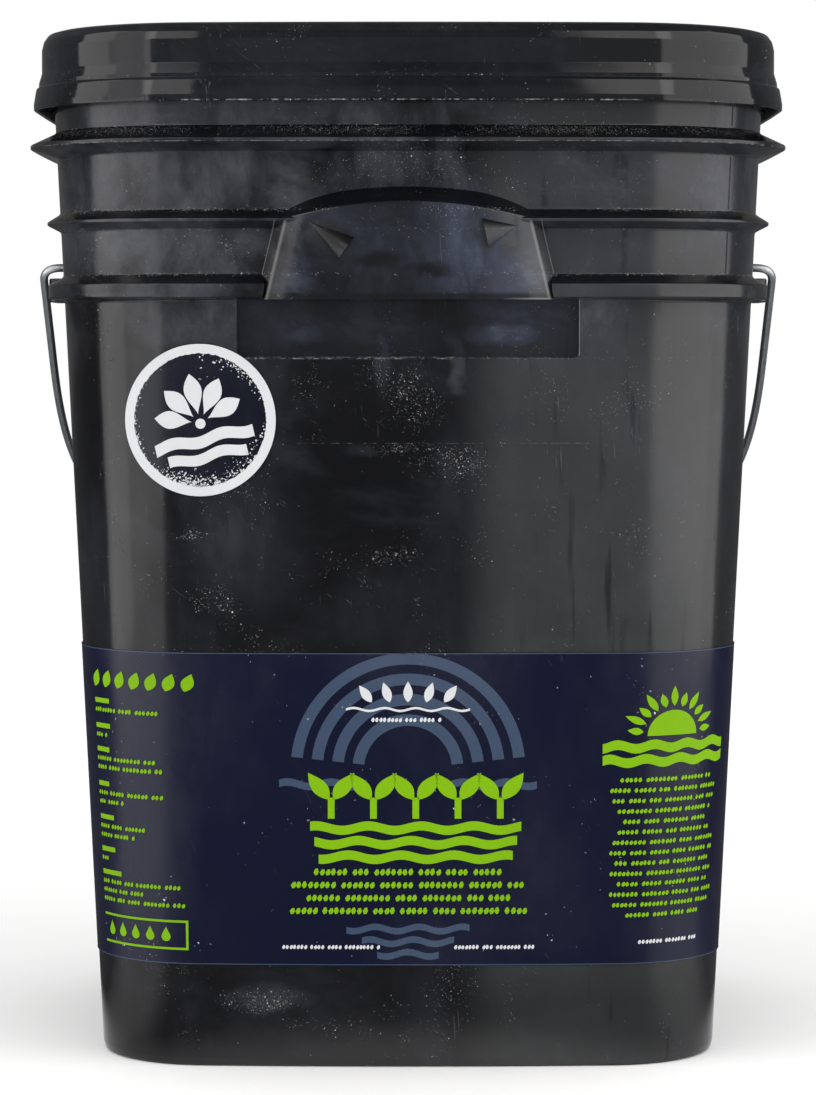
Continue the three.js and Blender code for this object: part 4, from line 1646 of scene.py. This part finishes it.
def centrePanel(x):
    lime = fieldEmblem(x + 3, 81.5, labelArt["emblemWidth"], labelArt["emblemTall"])
    lime += grainBlock(x + 0.5, 77.6, (74, 92, 80, 93), labelArt["rowHeight"], labelArt["rowPitch"])
    slate = []
    for k in range(4):
        slate += ringPart(x, 118, 17 + 8 * k, 21.5 + 8 * k, 6, 174, 40)
    for side in (-1, 1):
        slate += bar(x + side * 33 - 17, x + side * 33 + 17, 112, 3.0, 0.9, 17)
    for k in range(3):
        half = 24 - 6 * k
        slate += bar(x - half, x + half, 55 - 5 * k, 2.6, 0.9, 17, 0.8 * k)
    white = [leaf(x + dx, 144.2, 8.2, 3.6, dx * 2.6) for dx in (-14, -7, 0, 7, 14)]
    white += bar(x - 24, x + 24, 141.4, 0.9, 0.6, 12)
    white += grainRow(x - 14, x + 14, 137.4, 2.0)
    white += grainRow(x - 49, x - 10, 47.9, 1.9) + grainRow(x + 18, x + 50, 47.9, 1.9)
    return lime, slate, white


def leftPanel(x):
    lime = [leaf(x - 37.5 + 6.5 * k, 148.0, 7.4, 4.4, 20) for k in range(7)]
    for top, heading, rows in labelArt["leftRows"]:
        lime += bar(x - 38, x - 38 + heading, top, 1.9)
        for k, width in enumerate(rows):
            lime += grainRow(x - 38, x - 38 + width, top - 3.5 * (k + 1), labelArt["smallHeight"])
    for z in (57.4, 46.6):
        lime += bar(x - 38, x + 2, z, 0.9)
    lime += bar(x + 1.1, x + 2, 52, 10)
    lime += [drop(x - 33 + 6.6 * k, 51.2, 2.6) for k in range(5)]
    return lime, [], []


def rightPanel(x):
    lime = sunMotif(x, 130.5, 19)
    for k in range(2):
        lime += bar(x - 26, x + 26, 126.4 - 5.6 * k, 3.8, 0.8, 13, 1.4 * k)
    widths = (38, 46, 44, 40, 36, 40, 44, 46, 42, 46, 40, 46, 44, 34)
    lime += grainBlock(x, 113.4, widths, labelArt["smallHeight"], labelArt["smallPitch"])
    return lime, [], grainRow(x - 12, x + 14, 49.4, 1.9)


def backPanel(x):
    slate = []
    for k in range(3):
        slate += ringPart(x, 128, 14 + 7 * k, 17.6 + 7 * k, 6, 174, 36)
    lime = fieldEmblem(x, 99, 60, 30)
    lime += grainBlock(x, 92, (60, 70, 64), labelArt["rowHeight"], labelArt["rowPitch"])
    for k in range(3):
        slate += bar(x - 30 + 4 * k, x + 30 - 4 * k, 73 - 5.5 * k, 2.6, 0.9, 15, 0.9 * k)
    return lime, slate, grainRow(x - 18, x + 20, 52, 1.6)


def tablePanel(x):
    lime, white = [], []
    lime += bar(x - 34, x + 34, 150, 3.4)
    for k in range(4):
        z = 134 - 19 * k
        if k % 2:
            lime += [drop(x - 27 + dx, z - 1, 4.0) for dx in (-3.4, 3.4)]
        else:
            lime += seedling(x - 27, z - 6, 13, 12)
        lime += bar(x - 15, x + 8, z + 4.4, 2.0)
        lime += grainBlock(x + 9.5, z + 0.2, (48, 48, 40), labelArt["smallHeight"], 3.6)
        white += bar(x - 34, x + 34, z - 10.6, 0.5)
    white += grainRow(x - 34, x + 20, 53, 1.6)
    return lime, [], white


def sidePanel(x):
    lime = sprig(x, 104, 44, 0, 6, 13)
    lime += grainBlock(x, 97, (40, 48, 44, 38), labelArt["rowHeight"], labelArt["rowPitch"])
    white = [drop(x + dx, 66, 2.6) for dx in (-12, 0, 12)]
    white += bar(x - 24, x + 24, 58, 0.7, 0.8, 12)
    return lime, [], white


def buildLabelPrint():
    side, back = wholeRun / 4, wholeRun / 2
    panels = [centrePanel(0), leftPanel(labelArt["leftAt"]), rightPanel(labelArt["rightAt"])]
    panels += [sidePanel(side + labelArt["pastRight"]), sidePanel(-side - labelArt["pastLeft"])]
    panels += [backPanel(back - labelArt["fromSeam"]), tablePanel(labelArt["fromSeam"] - back)]
    inks = (("limePrint", limeInk, 0.08), ("slatePrint", slateInk, 0.0), ("whitePrint", whiteInk, 0.08))
    for place, (name, material, over) in enumerate(inks):
        loops = [loop for panel in panels for loop in panel[place]]
        printLoops(name, loops, material, "label_film", ink["lift"] + over)
    # Pale lines along the film's top and bottom edges: painted highlights of the film's edges.
    edges = []
    for z in (film["low"] + 0.25, film["high"] - 0.25):
        edges += bar(film["seam"] - back, back - film["seam"], z, 0.35)
    printLoops("filmEdgeHighlights", edges, slateInk, "label_film", ink["lift"])


buildLabelPrint()
print("label print built")


sticker = {
    "ringOuter": 29.5,
    "ringInner": 25.7,
    "tilt": 13.0,
    "specks": 520,
    "petals": (-72, -36, 0, 36, 72),
    # Worn print inside the ring: middle of the patch in degrees, spread, depth, share.
    "patches": ((-96, 21, 2.3, 0.56), (-40, 17, 2.6, 0.14), (54, 20, 1.5, 0.18), (184, 19, 0.8, 0.12)),
}


def turned(loops, x, z, degrees):
    return [[aside(x, z, a - x, b - z, -degrees) for a, b in loop] for loop in loops]


def buildSticker():
    x, z = film["stickerCentre"]
    low, depth = film["inner"], film["outer"] - film["inner"]
    base = [disc(x, z, film["stickerRadius"], 96)]
    printLoops("stickerDisc", base, stickerFilm, "sticker_film", low, True, depth, ["round_sticker"])
    white = ringPart(x, z, sticker["ringInner"], sticker["ringOuter"], 0, 360, 240, 0.35)
    motif = []
    for turn in sticker["petals"]:
        base = aside(x, z - 1.0, 0, 3.4, turn)
        motif.append(leaf(*base, 16.0 - abs(turn) * 0.02, 6.9, turn, cuts=16, swell=1.3))
    motif.append(disc(x, z - 1.4, 2.0, 16))
    motif += bar(x - 19.5, x + 19.5, z - 7.6, 4.6, 0.9, 19.5)
    motif += bar(x - 15.5, x + 15.5, z - 14.2, 4.2, 0.9, 19.5, 0.6)
    white += turned(motif, x, z, sticker["tilt"])
    for _ in range(sticker["specks"]):
        pick = draw.random()
        for middle, spread, deep, share in sticker["patches"]:
            pick -= share
            if pick < 0:
                break
        turn = math.radians(draw.gauss(middle, spread))
        reach = sticker["ringInner"] + 0.25 - abs(draw.gauss(0, deep))
        size = 0.13 + 0.34 * draw.random() ** 2
        px, pz = x + reach * math.cos(turn), z + reach * math.sin(turn)
        speck = []
        for a in (0, 1.2, 2.4, 3.7, 5.0):
            wide, tall = size * draw.uniform(0.5, 1.3), size * draw.uniform(0.5, 1.3)
            speck.append((px + wide * math.cos(a), pz + tall * math.sin(a)))
        white.append(speck)
    printLoops("stickerPrint", white, whiteInk, "sticker_film", ink["lift"], True)


buildSticker()
print("sticker built")


# floor, lights and camera

studio = {
    "floorRadius": 7.0,
    "nearFloor": 0.12,
    "farFloor": 0.19,
    "farColour": colour(0.06, 0.06, 0.06),
    "sideGlow": 0.4,
    "roomDiffuse": 1.08,
    "roomGlossy": 0.12,
    "warm": (1.0, 0.975, 0.965),
    "cool": (0.95, 0.97, 1.0),
}
# Soft cards, each as (middle, the direction that it faces, width, height, glow, tint).
softCards = {
    "leftCard": ((-1.0, -0.65, 0.76), (1, 0, 0), 1.3, 1.48, 1.5, "warm"),
    "leftCore": ((-1.0, -0.78, 0.76), (1, 0, 0), 0.7, 1.48, 0.65, "warm"),
    "rightCard": ((1.0, -0.6, 0.76), (-1, 0, 0), 1.6, 1.48, 1.3, "warm"),
    "rightCore": ((1.0, -0.6, 0.76), (-1, 0, 0), 0.8, 1.48, 0.7, "warm"),
    "highLeftCard": ((-0.85, -1.5, 1.15), (0.35, 1, -0.6), 0.9, 0.6, 1.3, "warm"),
    "highRightCard": ((0.8, -1.5, 1.15), (-0.35, 1, -0.6), 1.0, 0.6, 1.5, "warm"),
    "frontCard": ((0.25, -2.2, 0.66), (0, 1, 0), 2.6, 1.3, 0.14, "cool"),
}


# The floor looks pale all over; far from the pail, it reflects as a darker room.
def buildFloor(sides=128):
    ring = [(x, y, 0) for x, y in disc(0, 0, studio["floorRadius"], sides)]
    floor = newObject("floor", ring, (), [list(range(sides))])
    material, tree, shader, coords = newMaterial("paleFloor", Roughness=0.7)
    tone = noise(coords["Object"], 6.0, 3.0)[0]
    pale = mixColour(tree, tone, colour(0.89, 0.89, 0.89), colour(0.92, 0.92, 0.92))
    away = lengthOf(coords["Object"])
    far = mapped(away, studio["nearFloor"], studio["farFloor"], 0.0, 1.0, True)
    paths = addNode(tree, "ShaderNodeLightPath").outputs
    # Beside the pail's front the floor stays paler in reflections, more so on the left: a painted reflection
    # that brightens the pail's low corners.
    across = apart(coords["Object"])
    beside = calc("MULTIPLY_ADD", across[1], 0.75, calc("ABSOLUTE", across[0]))
    byLeft = mapped(across[0], 0.05, -0.05, 1.0, 1.35)
    beside = mapped(beside, 0.02, 0.09, 0.0, studio["sideGlow"], True)
    beside = times(beside, byLeft, mapped(across[1], 0.0, -0.08))
    dimmed = times(far, paths["Is Glossy Ray"], calc("SUBTRACT", 1.0, beside))
    # Far out, the floor glows for camera rays, so that it runs out into the white backdrop.
    backdropGlow = mapped(away, 0.35, 1.4, 0.0, 0.16, True)
    shader["Emission Color"].default_value = colour(1, 1, 1)
    put(times(backdropGlow, paths["Is Camera Ray"]), shader["Emission Strength"])
    put(mixColour(tree, dimmed, pale, studio["farColour"]), shader["Base Color"])
    floor.data.materials.append(material)


def addPanel(name, middle, toward, wide, tall, glow, tint):
    light = bpy.data.lights.new(name, "AREA")
    light.shape = "RECTANGLE"
    light.size, light.size_y = wide, tall
    light.energy = glow * math.pi * wide * tall
    light.color = tint
    lamp = bpy.data.objects.new(name, light)
    lamp.location = middle
    lamp.rotation_euler = Vector(toward).to_track_quat("-Z", "Y").to_euler()
    lamp.visible_camera = False
    scene.collection.objects.link(lamp)


def buildStudio():
    buildFloor()
    for name, (middle, toward, wide, tall, glow, tint) in softCards.items():
        addPanel(name, middle, toward, wide, tall, glow, studio[tint])
    world = bpy.data.worlds.new("room")
    scene.world = world
    world.use_nodes = True
    tree = world.node_tree
    tree.nodes.clear()
    paths = addNode(tree, "ShaderNodeLightPath").outputs
    strength = mapped(paths["Is Glossy Ray"], 0, 1, studio["roomDiffuse"], studio["roomGlossy"])
    room = addNode(tree, "ShaderNodeBackground", {0: colour(1, 1, 1), 1: strength}).outputs[0]
    backdrop = addNode(tree, "ShaderNodeBackground", {0: colour(1, 1, 1), 1: 1.0}).outputs[0]
    mixed = addNode(tree, "ShaderNodeMixShader", {0: paths["Is Camera Ray"], 1: room, 2: backdrop}).outputs[0]
    put(mixed, tree.nodes.new("ShaderNodeOutputWorld").inputs[0])
    scene.view_settings.view_transform = "Standard"


view = {
    "place": (0.0, -1.515, 0.2849),
    "tilt": 1.65,
    "lens": 118.32,
    "shift": -0.0948,
    "sensor": 36.0,
    "reach": (0.05, 50.0),
}


def buildCamera():
    camera = bpy.data.objects.new("camera", bpy.data.cameras.new("camera"))
    scene.collection.objects.link(camera)
    camera.location = view["place"]
    camera.rotation_euler = (math.pi / 2 - math.radians(view["tilt"]), 0, 0)
    camera.data.lens = view["lens"]
    camera.data.sensor_width = view["sensor"]
    camera.data.shift_y = view["shift"]
    camera.data.clip_start, camera.data.clip_end = view["reach"]
    scene.camera = camera


buildStudio()
buildCamera()
print("studio built")
